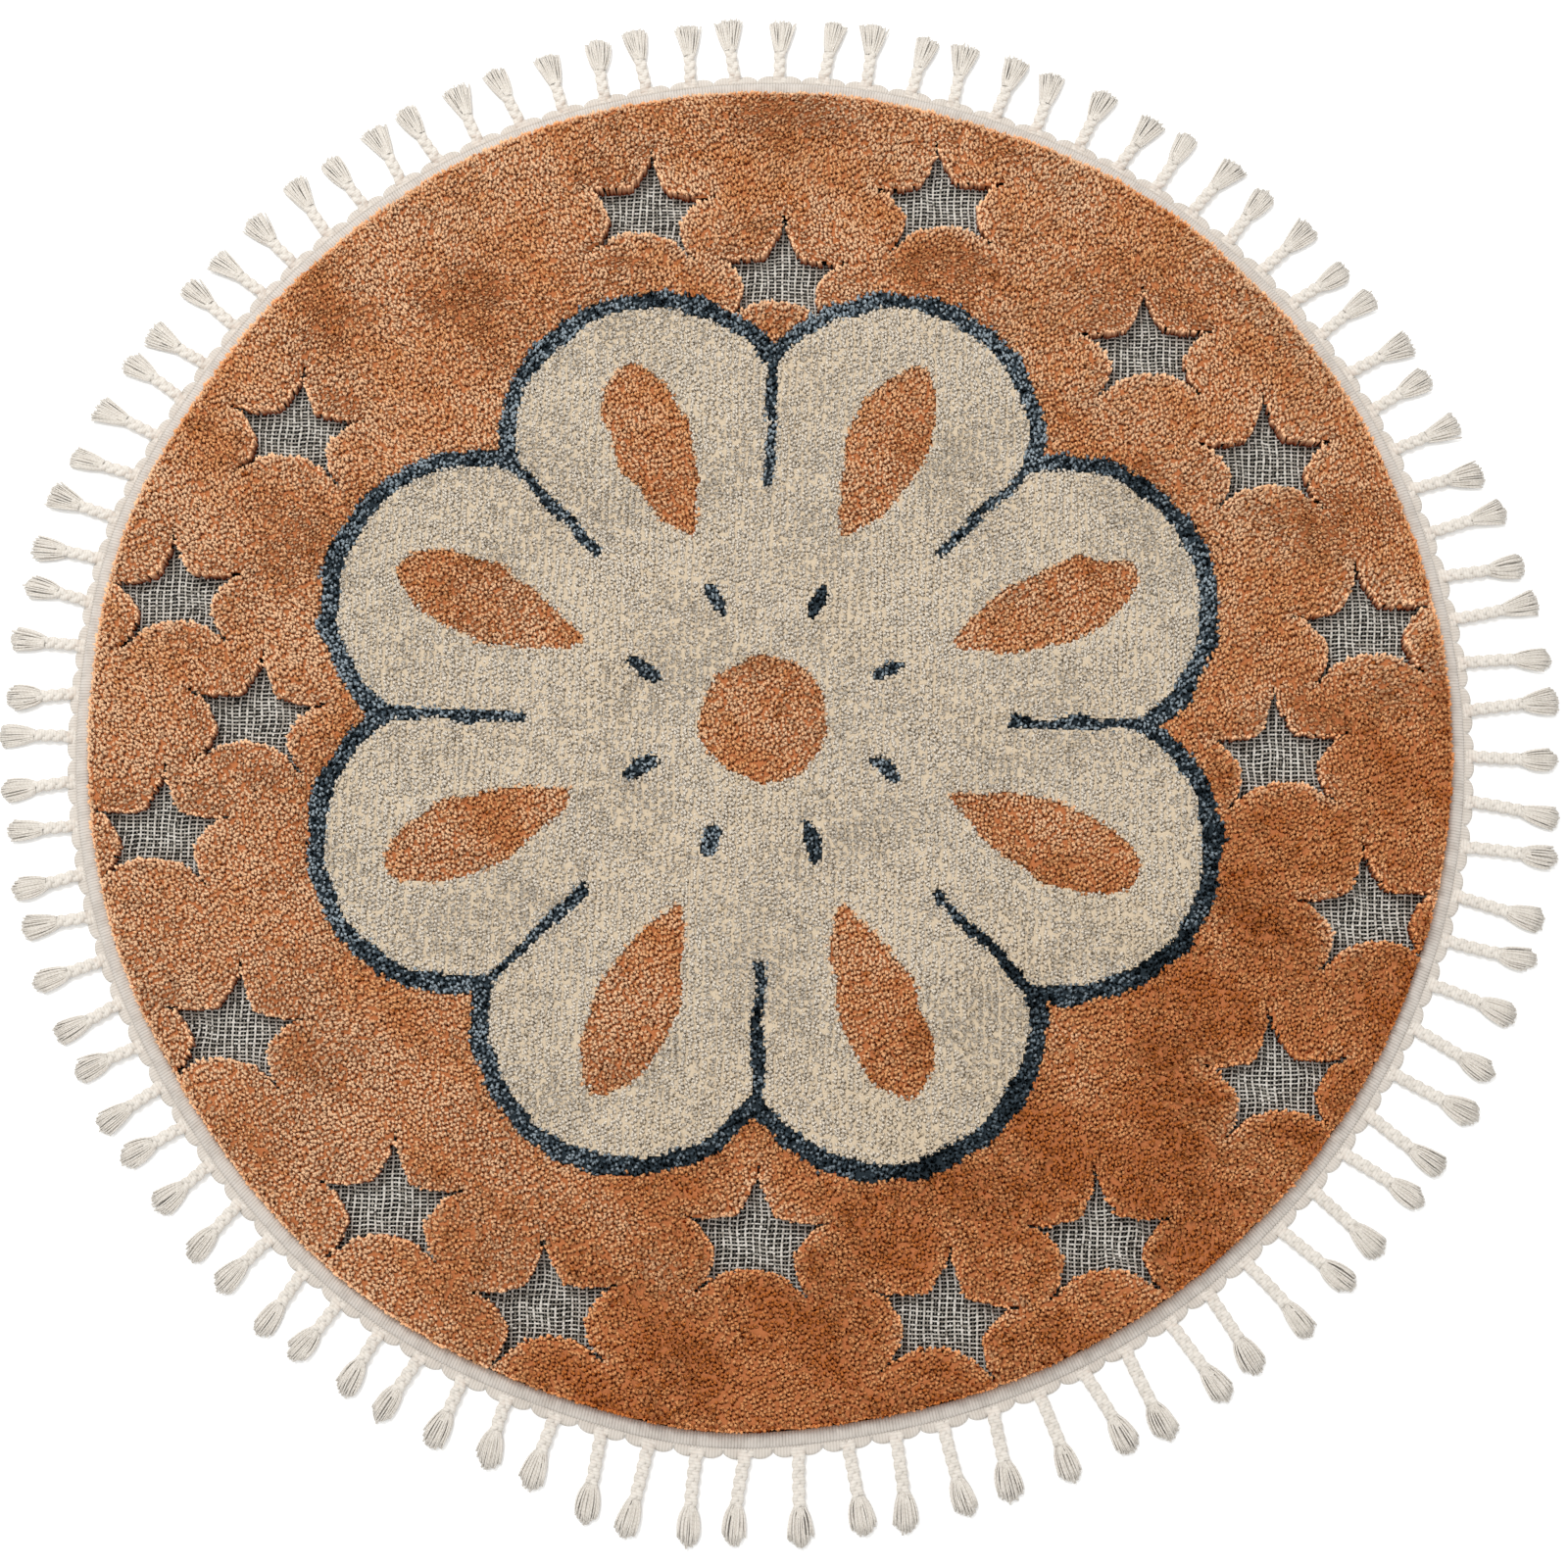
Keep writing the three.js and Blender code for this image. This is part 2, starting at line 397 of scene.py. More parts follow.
@dataclass(frozen=True)
class StarField:
    """The stars that are sunk into the pile down to the bare weave."""

    reach: float = 54.0
    halo: float = 40.0
    pinch: float = 0.9
    mound_width: float = 0.6
    slit_from: float = 0.7
    slit_to: float = 1.15
    slit_radius: float = 1.9
    slit_taper: float = 5.0
    curve_steps: int = 6
    corners: tuple[Corner, ...] = (
        Corner(90, 126, 0.48),
        Corner(162, 196, 0.6),
        Corner(222, 270, 0.38, mound=True),
        Corner(318, 344, 0.6),
        Corner(18, 54, 0.48),
    )
    places: tuple[StarPlace, ...] = tuple(
        StarPlace(*row)
        for row in (
            (-115, 461, -4), (145, 469, 3), (5, 398, -3), (326, 333, 2), (-418, 251, -6),
            (428, 233, 2), (-512, 101, 4), (507, 84, 6), (-436, -5, -5), (433, -27, 3),
            (-511, -106, -2), (505, -160, 5), (-437, -274, -4), (425, -300, 4), (-299, -414, -3),
            (283, -430, 5), (-166, -493, 4), (2, -435, -2), (156, -495, -5),
        )
    )

    def outline(self, place: StarPlace) -> Array:
        """One star's outline.

        Args:
            place: The star's centre and turn.

        Returns:
            Spots, in order round the star.
        """
        points = []
        for corner, following in zip(self.corners, self.corners[1:] + self.corners[:1]):
            ends = [circle(self.reach, math.radians(each.tip)) for each in (corner, following)]
            low = circle(self.reach * corner.share, math.radians(corner.notch))
            if corner.mound:
                bends = [np.array([end[0] * self.mound_width, low[1]]) for end in ends]
            else:
                bends = [(end + low) / 2 * self.pinch for end in ends]
            for start, bend, end in ((ends[0], bends[0], low), (low, bends[1], ends[1])):
                for t in np.arange(self.curve_steps) / self.curve_steps:
                    points.append((1 - t) ** 2 * start + 2 * t * (1 - t) * bend + t**2 * end)
        ahead = circle(1, math.radians(place.turn))
        return np.array(points) @ np.array([ahead, left_of(ahead)]) + [place.x, place.y]

    def distance(self, spots: Array) -> Array:
        """How far each place lies outside the nearest star.

        Args:
            spots: The places.

        Returns:
            The distance to the nearest outline, below zero inside a star, and 99 far away.
        """
        far = np.full(len(spots), FAR_AWAY)
        for place in self.places:
            near = np.hypot(*(spots - [place.x, place.y]).T) < self.reach + self.halo
            outline = self.outline(place)
            spot = spots[near]
            edge = np.roll(outline, -1, axis=0) - outline
            offset = spot[:, None] - outline[None]
            share = np.clip((offset * edge).sum(-1) / (edge**2).sum(-1), 0, 1)
            gap = np.linalg.norm(offset - share[..., None] * edge, axis=-1).min(axis=1)
            above = outline[None, :, 1] > spot[:, None, 1]
            crossed = above != np.roll(above, -1, axis=1)
            slope = edge[:, 0] / np.where(edge[:, 1] == 0, 1e-9, edge[:, 1])
            hit = outline[None, :, 0] + (spot[:, None, 1] - outline[None, :, 1]) * slope
            inside = (crossed & (spot[:, None, 0] < hit)).sum(axis=1) % 2 == 1
            away = np.where(inside, -gap, gap)
            local = spot - [place.x, place.y]
            # The star's points run on into the pile as narrow slits
            for corner in self.corners:
                arm = circle(1, math.radians(corner.tip + place.turn))
                run = np.clip(local @ arm, self.slit_from * self.reach, self.slit_to * self.reach)
                width = self.slit_radius - self.slit_taper * (run / self.reach - self.slit_from)
                gap = np.linalg.norm(local - run[:, None] * arm, axis=1)
                away = np.minimum(away, gap - width)
            far[near] = np.minimum(far[near], away)
        return far


class Yarn(IntEnum):
    """The pile yarn that a tuft is made of."""

    TERRACOTTA = 0
    CREAM = 1
    SLATE = 2


@dataclass(frozen=True)
class FlowerDesign:
    """The plain round flower in the middle of the rug, in the pile's colours."""

    petals: int = 8
    petal_centre: float = 270.0
    petal_radius: float = 135.0
    outline: float = 16.0
    division: float = 5.0
    division_start: float = 205.0
    drop_start: float = 172.0
    drop_end: float = 342.0
    drop_width: float = 34.0
    drop_fullness: float = 1.35
    heart: float = 55.0
    seed_distance: float = 112.0
    seed_length: float = 17.0
    seed_width: float = 7.0
    wobble: float = 1.3
    wobble_width: float = 46.0

    def yarn_at(self, spots: Array) -> Array:
        """The yarn of the tuft at each place.

        Args:
            spots: The tufts' places.

        Returns:
            A Yarn number for each tuft.
        """
        spots = spots.astype(float)
        for axis in (0, 1):
            spots[:, axis] += drift(spots, (self.wobble, self.wobble_width, axis + 1))
        x, y = spots.T
        reach = np.hypot(x, y)
        half = math.pi / self.petals
        fold = np.abs(np.arctan2(y, x) % (2 * half) - half)
        along, across = reach * np.cos(fold), reach * np.sin(fold)
        edge = np.hypot(along - self.petal_centre, across) - self.petal_radius
        yarn = np.full(len(spots), int(Yarn.TERRACOTTA))
        yarn[(edge < 0) | (reach < self.petal_centre)] = Yarn.CREAM
        yarn[(edge > -self.outline) & (edge < 0) & (reach > self.petal_centre)] = Yarn.SLATE
        line = reach * np.sin(half - fold) < self.division
        yarn[line & (reach > self.division_start) & (edge < 0)] = Yarn.SLATE
        share = (along - self.drop_start) / (self.drop_end - self.drop_start)
        swell = np.sqrt(np.sin(math.pi * np.clip(share, 0, 1) ** self.drop_fullness))
        yarn[(share > 0) & (share < 1) & (across < self.drop_width * swell)] = Yarn.TERRACOTTA
        yarn[reach < self.heart] = Yarn.TERRACOTTA
        seed = np.hypot((along - self.seed_distance) / self.seed_length, across / self.seed_width)
        yarn[seed < 1] = Yarn.SLATE
        return yarn


# Finishes


@dataclass(frozen=True)
class Finish:
    """A dull finish made of shader nodes alone."""

    name: str
    _: KW_ONLY
    roughness: float = 0.9
    specular: float = 0.5
    sheen: float = 0.0
    sheen_roughness: float = 0.5
    bump: float = 0.5

    def looks(self, tree: Tree) -> dict[str, Any]:
        """What makes the finish its own.

        Args:
            tree: The material's node tree.

        Returns:
            A value or a node's output for each of the shader's inputs that it sets.
        """
        raise NotImplementedError

    def material(self) -> Material:
        """Makes the finish.

        Returns:
            The material, with its levels and with what makes it its own.
        """
        material = bpy.data.materials.new(self.name)
        material.use_nodes = True
        tree = material.node_tree
        levels = {
            "Roughness": self.roughness,
            "Specular IOR Level": self.specular,
            "Sheen Weight": self.sheen,
            "Sheen Roughness": self.sheen_roughness,
        }
        wire(tree, tree.nodes["Principled BSDF"], levels | self.looks(tree))
        return material


@dataclass(frozen=True)
class CutPile(Finish):
    """Cut pile of heat-set polypropylene yarn, woven face to face and sheared.

    The eye sees a soft, dull mass of fibre ends, mottled with painted light and shade where the pile
    leans, and painted shade, darker and more saturated, down between the tufts.
    """

    # The deep colour is painted shade down between the tufts; the other three follow the tufts' tone
    deep: str
    dark: str
    middle: str
    light: str
    fibre: float = 1.3
    fibre_contrast: float = 0.3
    fibre_relief: float = 0.5
    fibre_detail: float = 2.0
    # How far up the shade mark the painted shade reaches
    sunk_to: float = 0.38
    _: KW_ONLY
    roughness: float = 0.95
    specular: float = 0.0
    sheen_roughness: float = 0.6
    bump: float = 0.4

    def looks(self, tree: Tree) -> dict[str, Any]:
        """Reads the tufts' tone and depth.

        Args:
            tree: The material's node tree.

        Returns:
            The colour and the relief.
        """
        place = add_node(tree, "ShaderNodeTexCoord").outputs["Object"]
        # Fibre ends are too fine to show one by one, so they are drawn in small bunches
        bunches = {"Vector": place, "Scale": 1 / (self.fibre * MM), "Detail": self.fibre_detail}
        fibres = add_node(tree, "ShaderNodeTexNoise", bunches).outputs["Fac"]
        contrast = {0: fibres, 1: self.fibre_contrast, 2: -self.fibre_contrast / 2}
        spread = add_node(tree, "ShaderNodeMath", contrast, operation="MULTIPLY_ADD").outputs[0]
        tuft = add_node(tree, "ShaderNodeAttribute", attribute_name="tone").outputs["Fac"]
        tone = add_node(tree, "ShaderNodeMath", {0: tuft, 1: spread}, operation="ADD").outputs[0]
        ramp = add_node(tree, "ShaderNodeValToRGB", {"Fac": tone})
        stops = ramp.color_ramp.elements
        stops[0].color = linear(self.dark)
        stops[1].color = linear(self.light)
        stops.new(0.5).color = linear(self.middle)
        # Painted shade: the deep colour shows where the shade mark is low
        depth = add_node(tree, "ShaderNodeAttribute", attribute_name="depth").outputs["Fac"]
        sinking = {"Value": depth, "From Min": 0.0, "From Max": self.sunk_to}
        sunk = add_node(tree, "ShaderNodeMapRange", sinking).outputs[0]
        shades = {0: sunk, 6: linear(self.deep), 7: ramp.outputs["Color"]}
        colour = add_node(tree, "ShaderNodeMix", shades, data_type="RGBA").outputs[2]
        rise = {"Height": fibres, "Strength": self.bump, "Distance": self.fibre_relief * MM}
        relief = add_node(tree, "ShaderNodeBump", rise).outputs["Normal"]
        return {"Base Color": colour, "Normal": relief}


@dataclass(frozen=True)
class SpunYarn(Finish):
    """Spun cotton or jute yarn, dull and a little hairy.

    The eye sees fine stripes that wind round each strand where its plies are twisted, with painted
    shade in the grooves, and a soft unevenness of colour along it.
    """

    colour: str
    # The shade colour is painted shade in the grooves between the plies
    shade: str
    patch: float = 9.0
    patch_detail: float = 3.0
    fibre: float = 0.7
    fibre_detail: float = 2.0
    fuzz_height: float = 0.5
    twist_depth: float = 0.35
    # How the painted shade of the grooves is spread, and how strong it is
    groove_to: float = -0.2
    groove_light: float = 0.45
    _: KW_ONLY
    specular: float = 0.25
    sheen: float = 0.15
    bump: float = 0.7

    def looks(self, tree: Tree) -> dict[str, Any]:
        """Reads the strands' twist.

        Args:
            tree: The material's node tree.

        Returns:
            The colour and the relief.
        """
        place = add_node(tree, "ShaderNodeTexCoord").outputs["Object"]
        twist = add_node(tree, "ShaderNodeAttribute", attribute_name="twist").outputs["Fac"]
        wave = add_node(tree, "ShaderNodeMath", {0: twist}, operation="SINE").outputs[0]
        ridge = {"Value": wave, "From Min": -1.0, "From Max": self.groove_to}
        groove = add_node(tree, "ShaderNodeMapRange", ridge).outputs[0]
        clouds = {"Vector": place, "Scale": 1 / (self.patch * MM), "Detail": self.patch_detail}
        patches = add_node(tree, "ShaderNodeTexNoise", clouds).outputs["Fac"]
        hairs = {"Vector": place, "Scale": 1 / (self.fibre * MM), "Detail": self.fibre_detail}
        fuzz = add_node(tree, "ShaderNodeTexNoise", hairs).outputs["Fac"]
        # Painted shade in the ply grooves: the shade colour shows where the groove is low
        lighter = {0: groove, 1: self.groove_light, 2: patches}
        light = add_node(tree, "ShaderNodeMath", lighter, operation="MULTIPLY_ADD").outputs[0]
        shades = {0: light, 6: linear(self.shade), 7: linear(self.colour)}
        colour = add_node(tree, "ShaderNodeMix", shades, data_type="RGBA").outputs[2]
        higher = {0: fuzz, 1: self.fuzz_height, 2: groove}
        height = add_node(tree, "ShaderNodeMath", higher, operation="MULTIPLY_ADD").outputs[0]
        rise = {"Height": height, "Strength": self.bump, "Distance": self.twist_depth * MM}
        relief = add_node(tree, "ShaderNodeBump", rise).outputs["Normal"]
        return {"Base Color": colour, "Normal": relief}


@dataclass(frozen=True)
class JuteBack(Finish):
    """The woven back of the ground: jute and polypropylene threads, plain woven.

    The eye sees a dull grid of short brown-grey thread ends.
    """

    light: str
    dark: str
    thread: float = 3.0
    thread_relief: float = 0.4
    gap: float = 0.12
    gap_softness: float = 0.8
    _: KW_ONLY
    roughness: float = 0.92
    bump: float = 0.6

    def looks(self, tree: Tree) -> dict[str, Any]:
        """Draws the thread ends.

        Args:
            tree: The material's node tree.

        Returns:
            The colour and the relief.
        """
        place = add_node(tree, "ShaderNodeTexCoord").outputs["Object"]
        ends = {
            "Vector": place,
            "Color1": linear(self.light),
            "Color2": linear(self.light),
            "Mortar": linear(self.dark),
            "Scale": 1 / (self.thread * MM),
            "Mortar Size": self.gap,
            "Mortar Smooth": self.gap_softness,
            "Brick Width": 1.0,
            "Row Height": 0.5,
        }
        weave = add_node(tree, "ShaderNodeTexBrick", ends)
        gaps = weave.outputs["Fac"]
        rise = {"Height": gaps, "Strength": self.bump, "Distance": self.thread_relief * MM}
        relief = add_node(tree, "ShaderNodeBump", rise, invert=True).outputs["Normal"]
        return {"Base Color": weave.outputs["Color"], "Normal": relief}


@dataclass(frozen=True)
class Paint(Finish):
    """Matt white paint, which the eye sees as one even tone."""

    colour: str

    def looks(self, tree: Tree) -> dict[str, Any]:
        """The one colour."""
        return {"Base Color": linear(self.colour)}


# The rug's own pieces


@dataclass(frozen=True)
class Threads:
    """One set of parallel threads in the bare weave, cut into short roofs.

    The pitch is the spacing of the roofs in x and y, the base the height of their feet, and the
    bend how far they rise and fall as they are woven.
    """

    pitch: tuple[float, float]
    width: float
    height: float
    base: float
    bend: float
    tone: float
    offset: float = 0.0
    across: bool = False
    tone_spread: float = 0.28
    width_spread: float = 0.16
    wander: float = 0.55
    # How much painted shade the feet of the threads get
    foot_shading: float = 0.1


@dataclass
class WovenGround:
    """The flat weave that carries the pile, and its threads where the stars leave it bare."""

    rim: Rim
    stars: StarField
    rng: np.random.Generator = field(default_factory=lambda: np.random.default_rng(SEED + 3))
    selvedge: float = 588.5
    floor_of_stars: float = 1.4
    segments: int = 188
    rings: tuple[float, ...] = (1.0, 0.8, 0.6, 0.4, 0.2)
    under_pile: float = 4.0
    cords: Threads = Threads((6.1, 1.75), 1.75, 1.3, 1.4, 0.45, 0.85)
    thin_cords: Threads = Threads((6.1, 3.5), 0.9, 0.6, 1.3, 0.1, 0.12, offset=0.5)
    rows: Threads = Threads((3.05, 3.5), 1.35, 1.0, 1.35, 0.4, 0.74, across=True)

    def slab(self, top: Material, back: Material) -> Piece:
        """Makes the ground as one closed sheet.

        Args:
            top: The finish between the threads.
            back: The finish of the underside and the edge.

        Returns:
            The sheet.
        """
        steps = np.arange(self.segments)
        levels = [(self.selvedge * share, 0.0) for share in reversed(self.rings)]
        levels += [(self.selvedge * share, self.floor_of_stars) for share in self.rings]
        points = self.rim.swept(steps * TURN / self.segments, levels)
        after = (steps + 1) % self.segments
        last = len(points) - self.segments
        middle = np.full(self.segments, len(points))
        low = np.stack([after, steps, middle], axis=1)
        high = np.stack([last + steps, last + after, middle + 1], axis=1)
        surface = Surface()
        # The ground between the threads gets the finish's deep colour in full, as painted shade in the
        # holes of the weave
        surface.add(
            np.concatenate([points, [[0, 0, 0], [0, 0, self.floor_of_stars]]]),
            [tube_faces(len(levels), self.segments), low, high],
            tone=0.5,
            depth=0.0,
        )
        piece = surface.finish("woven_ground", back, top)
        upper = [int(face.normal.z > 0.5) for face in piece.data.polygons]
        piece.data.polygons.foreach_set("material_index", upper)
        piece.data.polygons.foreach_set("use_smooth", np.zeros(len(upper), bool))
        return piece

    def threads(self, finish: Material) -> Piece:
        """Lays the threads over the ground inside every star.

        Args:
            finish: The threads' finish.

        Returns:
            One joined piece.
        """
        surface = Surface()
        for kind in (self.cords, self.thin_cords, self.rows):
            self.lay(surface, kind)
        return surface.finish("star_weave", finish)

    def lay(self, surface: Surface, kind: Threads) -> None:
        """Lays one set of threads.

        Args:
            surface: The mesh that takes them.
            kind: The set.
        """
        cells = []
        reach = self.stars.reach + self.under_pile
        for star in self.stars.places:
            spans = [
                np.arange(math.floor((c - reach) / p), math.ceil((c + reach) / p) + 1)
                for c, p in zip((star.x, star.y), kind.pitch)
            ]
            cells.append(lattice(*spans))
        cell = np.unique(np.concatenate(cells), axis=0).astype(float)
        middle = (cell + [kind.offset, 0]) * kind.pitch
        bare = self.stars.distance(middle) < self.under_pile
        cell, middle = cell[bare], middle[bare]
        run, side = (0, 1) if kind.across else (1, 0)
        wander = drift(middle, (kind.wander, 31, 4))
        width = kind.width * self.rng.normal(1, kind.width_spread, len(cell))
        points = np.zeros((len(cell), 6, 3))
        for end in (0, 1):
            rise = kind.height + kind.bend * np.cos(math.pi * (cell.sum(axis=1) + end))
            for k, (out, up) in enumerate(((-0.5, 0), (0, 1), (0.5, 0))):
                corner = points[:, 3 * end + k]
                corner[:, run] = middle[:, run] + (end - 0.5) * kind.pitch[run]
                corner[:, side] = middle[:, side] + wander + out * width
                corner[:, 2] = kind.base + rise * up
        faces = np.array([[0, 1, 4, 3], [1, 2, 5, 4]])
        # Painted shade at the feet of the thread roofs, none on their ridges
        surface.add(
            points.reshape(-1, 3),
            [repeat_faces(faces[:, ::-1] if kind.across else faces, len(cell), 6)],
            tone=np.repeat(kind.tone + self.rng.normal(0, kind.tone_spread, len(cell)), 6),
            depth=np.tile([kind.foot_shading, 1, kind.foot_shading], 2 * len(cell)),
        )


@dataclass
class Locks:
    """Many locks of pile: where each stands, how tall, wide and light it is, and how it leans.

    A lock's tip is 1 where it lies in the open, and less, as painted shade, where it is short and sunk.
    """

    spots: Array
    foot: Array
    top: Array
    radius: Array
    lean: Array
    tone: Array
    tip: Array
    yarn: Array

    def only(self, kept: Array) -> "Locks":
        """The locks that a mask keeps."""
        return Locks(*(getattr(self, part.name)[kept] for part in fields(self)))


@dataclass(frozen=True)
class Sweep:
    """A soft change across the rug, along a direction, between two distances from its middle."""

    x: float
    y: float
    start: float
    end: float

    def at(self, spots: Array) -> Array:
        """How far each place is past the change, from 0 to 1."""
        return smooth(self.start, self.end, self.x * spots[:, 0] + self.y * spots[:, 1])


def on_side(spots: Array, side: int) -> Array:
    """Which places lie in the left half (-1), the right half (1) or either (0)."""
    return (side == 0) | ((spots[:, 0] > 0) == (side > 0))


@dataclass
class Pile:
    """The high cut pile in three yarns: leaning locks in pairs, and stout ones at the edges.

    Fields of three values have one for each yarn, except the drift of the rows and the painted shade at
    a stout lock's foot, shoulder and tip. A scatter of two values has that of the plain yarns
    first and that of the cream second. A swell is a length, a heading in degrees, a height and a
    start, and a drift is a strength, a width and a seed.
    """

    rim: Rim
    stars: StarField
    flower: FlowerDesign
    rng: np.random.Generator = field(default_factory=lambda: np.random.default_rng(SEED))
    ground: float = 3.0
    height: float = 20.0
    swells: Rows = (
        (410, 25, 0.8, 0.4), (290, 118, 0.7, 1.9), (205, 72, 0.5, 0.9), (160, 160, 0.4, 2.6),
    )
    shoulder_drop: float = 5.0
    shoulder_width: float = 7.0
    star_drop: float = 2.5
    star_shoulder: float = 6.0
    row_pitch: float = 6.1
    tuft_pitch: float = 3.3
    row_drift: tuple[float, float, int] = (0.8, 95, 11)
    knot_scatter: tuple[float, float] = (0.8, 0.35)
    along_row: float = 0.8
    lock_scatter: tuple[float, float] = (0.5, 0.35)
    lock_spread: tuple[float, float] = (1.55, 0.8)
    cream_spread: float = 0.68
    lock_radius: float = 1.75
    cream_radius: float = 0.92
    radius_spread: float = 0.08
    lock_length: float = 5.3
    length_spread: float = 0.12
    widest: float = 0.1
    side_drop: float = 0.45
    astray: float = 0.4
    rooted: tuple[float, float, float] = (4.3, 2.6, 4.6)
    # The painted shade at the root of a leaning lock, for each yarn
    root_depth: tuple[float, float, float] = (-0.22, -0.12, -0.45)
    ragged: float = 1.2
    short_from: float = 0.75
    shortest: float = -3.5
    short_lock: float = 1.3
    # How much painted shade the short locks get
    short_shading: float = 0.3
    top_spread: float = 0.6
    cream_calm: float = 0.7
    lie: float = 0.9
    least_lie: float = 0.3
    lean_spread: float = 0.9
    sway: tuple[Rows, Rows] = (
        ((0.7, 150, 5), (0.35, 38, 6)),
        ((0.7, 130, 7), (0.35, 34, 8)),
    )
    rim_lean: float = 1.2
    rim_zone: float = 9.0
    star_lean: float = 2.0
    star_zone: tuple[float, float] = (2.0, 14.0)
    # Towards the lower right the locks are shorter, darker in tone and painted with shade
    turned: Sweep = Sweep(0.57, -0.82, 120, 450)
    turned_short: float = 0.8
    turned_shading: float = 0.45
    turned_tone_shade: float = 0.56
    turned_tip_shade: float = 0.12
    # Painted light towards the left
    lit: Sweep = Sweep(-0.94, -0.34, 300, 480)
    lit_light: float = 0.2
    mean_tone: float = 0.58
    # Painted light and shade from the pile's lean: a lift, a mottled field, and a smaller share of it
    # on the cream
    nap_shading: float = 0.12
    mottled_shading: Rows = ((0.13, 130, 9), (0.07, 42, 10))
    cream_nap_shading: float = 0.5
    # Painted light on the terracotta round the stars
    star_light: float = 0.3
    star_glow: tuple[float, float] = (2.0, 16.0)
    tuft_contrast: tuple[float, float, float] = (0.12, 0.09, 0.24)
    edge_gap: float = 1.3
    edge_line: float = 1.9
    edge_pitch: float = 1.9
    edge_radius: float = 1.9
    edge_zone: float = 5.0
    edge_shoulder: float = 2.6
    edge_hold: float = 0.4
    edge_stiff: float = 0.3
    edge_scatter: float = 0.6
    edge_sizes: tuple[float, float] = (0.7, 1.15)
    edge_top_spread: float = 0.8
    edge_lean_spread: float = 1.0
    shoulder_lean: float = 0.6
    # Painted shade at a stout lock's foot, shoulder and tip, and painted light on those along the outer
    # edge
    edge_depths: tuple[float, float, float] = (-0.02, 0.28, 0.6)
    rim_light: float = 0.2
    bed_cell: float = 8.1
    bed_split: int = 3
    bed_gap: float = 1.5
    bed_rise: float = 0.5
    bed_clear: float = 0.75
    # The bed is painted darker, as shade between the locks
    bed_tone: float = 0.35
    bed_shading: float = 0.15

    def inset(self, spots: Array) -> Array:
        """How far each place lies inside the pile's outer edge."""
        x, y = spots.T
        return self.rim.pile * self.rim.stretch(np.arctan2(y, x)) - np.hypot(x, y)

    def top_at(self, spots: Array, bare: Array) -> Array:
        """The pile's height, with the solid's low swells, rounded off along its edges.

        Args:
            spots: The places.
            bare: How far each place lies from the nearest star.

        Returns:
            The height at each place.
        """
        swells = [(length, math.radians(heading), *rest) for length, heading, *rest in self.swells]
        top = self.height + ripples(spots, swells)
        top -= self.shoulder_drop * (1 - smooth(0, self.shoulder_width, self.inset(spots)))
        return top - self.star_drop * (1 - smooth(0, self.star_shoulder, bare))

    def lean(self, spots: Array, bare: Array, loose: Array) -> Array:
        """How far the locks lie over: towards the top of the design, and out over the edges.

        Args:
            spots: The locks' places.
            bare: How far each lies from the nearest star.
            loose: How loosely each one stands.

        Returns:
            A direction for each lock.
        """
        lie_x, lie_y = (drift(spots, *parts) for parts in self.sway)
        held = self.least_lie + (1 - self.least_lie) * loose
        lean = np.stack([lie_x, self.lie + lie_y], axis=1) * held[:, None]
        lean += self.rng.normal(0, self.lean_spread, spots.shape) * loose[:, None]
        out = spots / np.maximum(np.hypot(*spots.T), 1)[:, None]
        lean += out * (self.rim_lean * (1 - smooth(0, self.rim_zone, self.inset(spots))))[:, None]
        fall = [bare - self.stars.distance(spots + step) for step in ([0.5, 0], [0, 0.5])]
        near = self.star_lean * (1 - smooth(*self.star_zone, bare))
        return lean + np.stack(fall, axis=1) * near[:, None]

    def grown(self, spots: Array, tuft_tone: Array) -> Locks:
        """Grows a lock at each place that lies on the pile.

        Args:
            spots: The locks' places.
            tuft_tone: How light or dark each lock's tuft is.

        Returns:
            The locks.
        """
        bare = self.stars.distance(spots)
        kept = (self.inset(spots) > self.edge_gap) & (bare > self.edge_gap)
        spots, bare, tuft_tone = spots[kept], bare[kept], tuft_tone[kept]
        count = len(spots)
        yarn = self.flower.yarn_at(spots + self.rng.normal(0, self.ragged, (2, count)).T)
        cream = yarn == Yarn.CREAM
        loose = np.where(cream, self.cream_calm, 1.0)
        # Towards the lower right, where the pile leans towards the eye, the locks are shorter and
        # painted with shade
        turned = self.turned.at(spots)
        # Most locks are even, and a few are short, darker in tone and painted with shade, as the gaps
        # between the tufts look
        lock_tone = 1 - self.rng.exponential(1, count)
        short = np.clip(lock_tone + self.short_from, self.shortest, 0)
        top = self.top_at(spots, bare) + self.rng.normal(0, self.top_spread, count) * loose
        top += self.short_lock * (1 + self.turned_short * turned) * short
        lean = self.lean(spots, bare, loose)
        # Painted light and shade from the pile's lean: lighter where the pile leans away and shows its
        # sides, as on the rims of the stars
        nap_shading = self.nap_shading + self.lit_light * self.lit.at(spots) - self.turned_tone_shade * turned
        nap_shading = (drift(spots, *self.mottled_shading) + nap_shading) * np.where(cream, self.cream_nap_shading, 1.0)
        tone = self.mean_tone + nap_shading + (tuft_tone + lock_tone) * np.array(self.tuft_contrast)[yarn]
        # Painted light on the terracotta round the rims of the stars
        tone += (yarn == Yarn.TERRACOTTA) * self.star_light * (1 - smooth(*self.star_glow, bare))
        # Painted shade on the short locks, more of it towards the lower right
        sunk_shading = self.short_shading + self.turned_shading * turned
        wide = np.where(cream, self.cream_radius, self.rng.normal(1, self.radius_spread, count))
        return Locks(
            spots=spots,
            foot=top - np.array(self.rooted)[yarn],
            top=top,
            radius=self.lock_radius * wide,
            lean=lean,
            tone=tone,
            tip=1 + sunk_shading * short - self.turned_tip_shade * turned,
            yarn=yarn,
        )

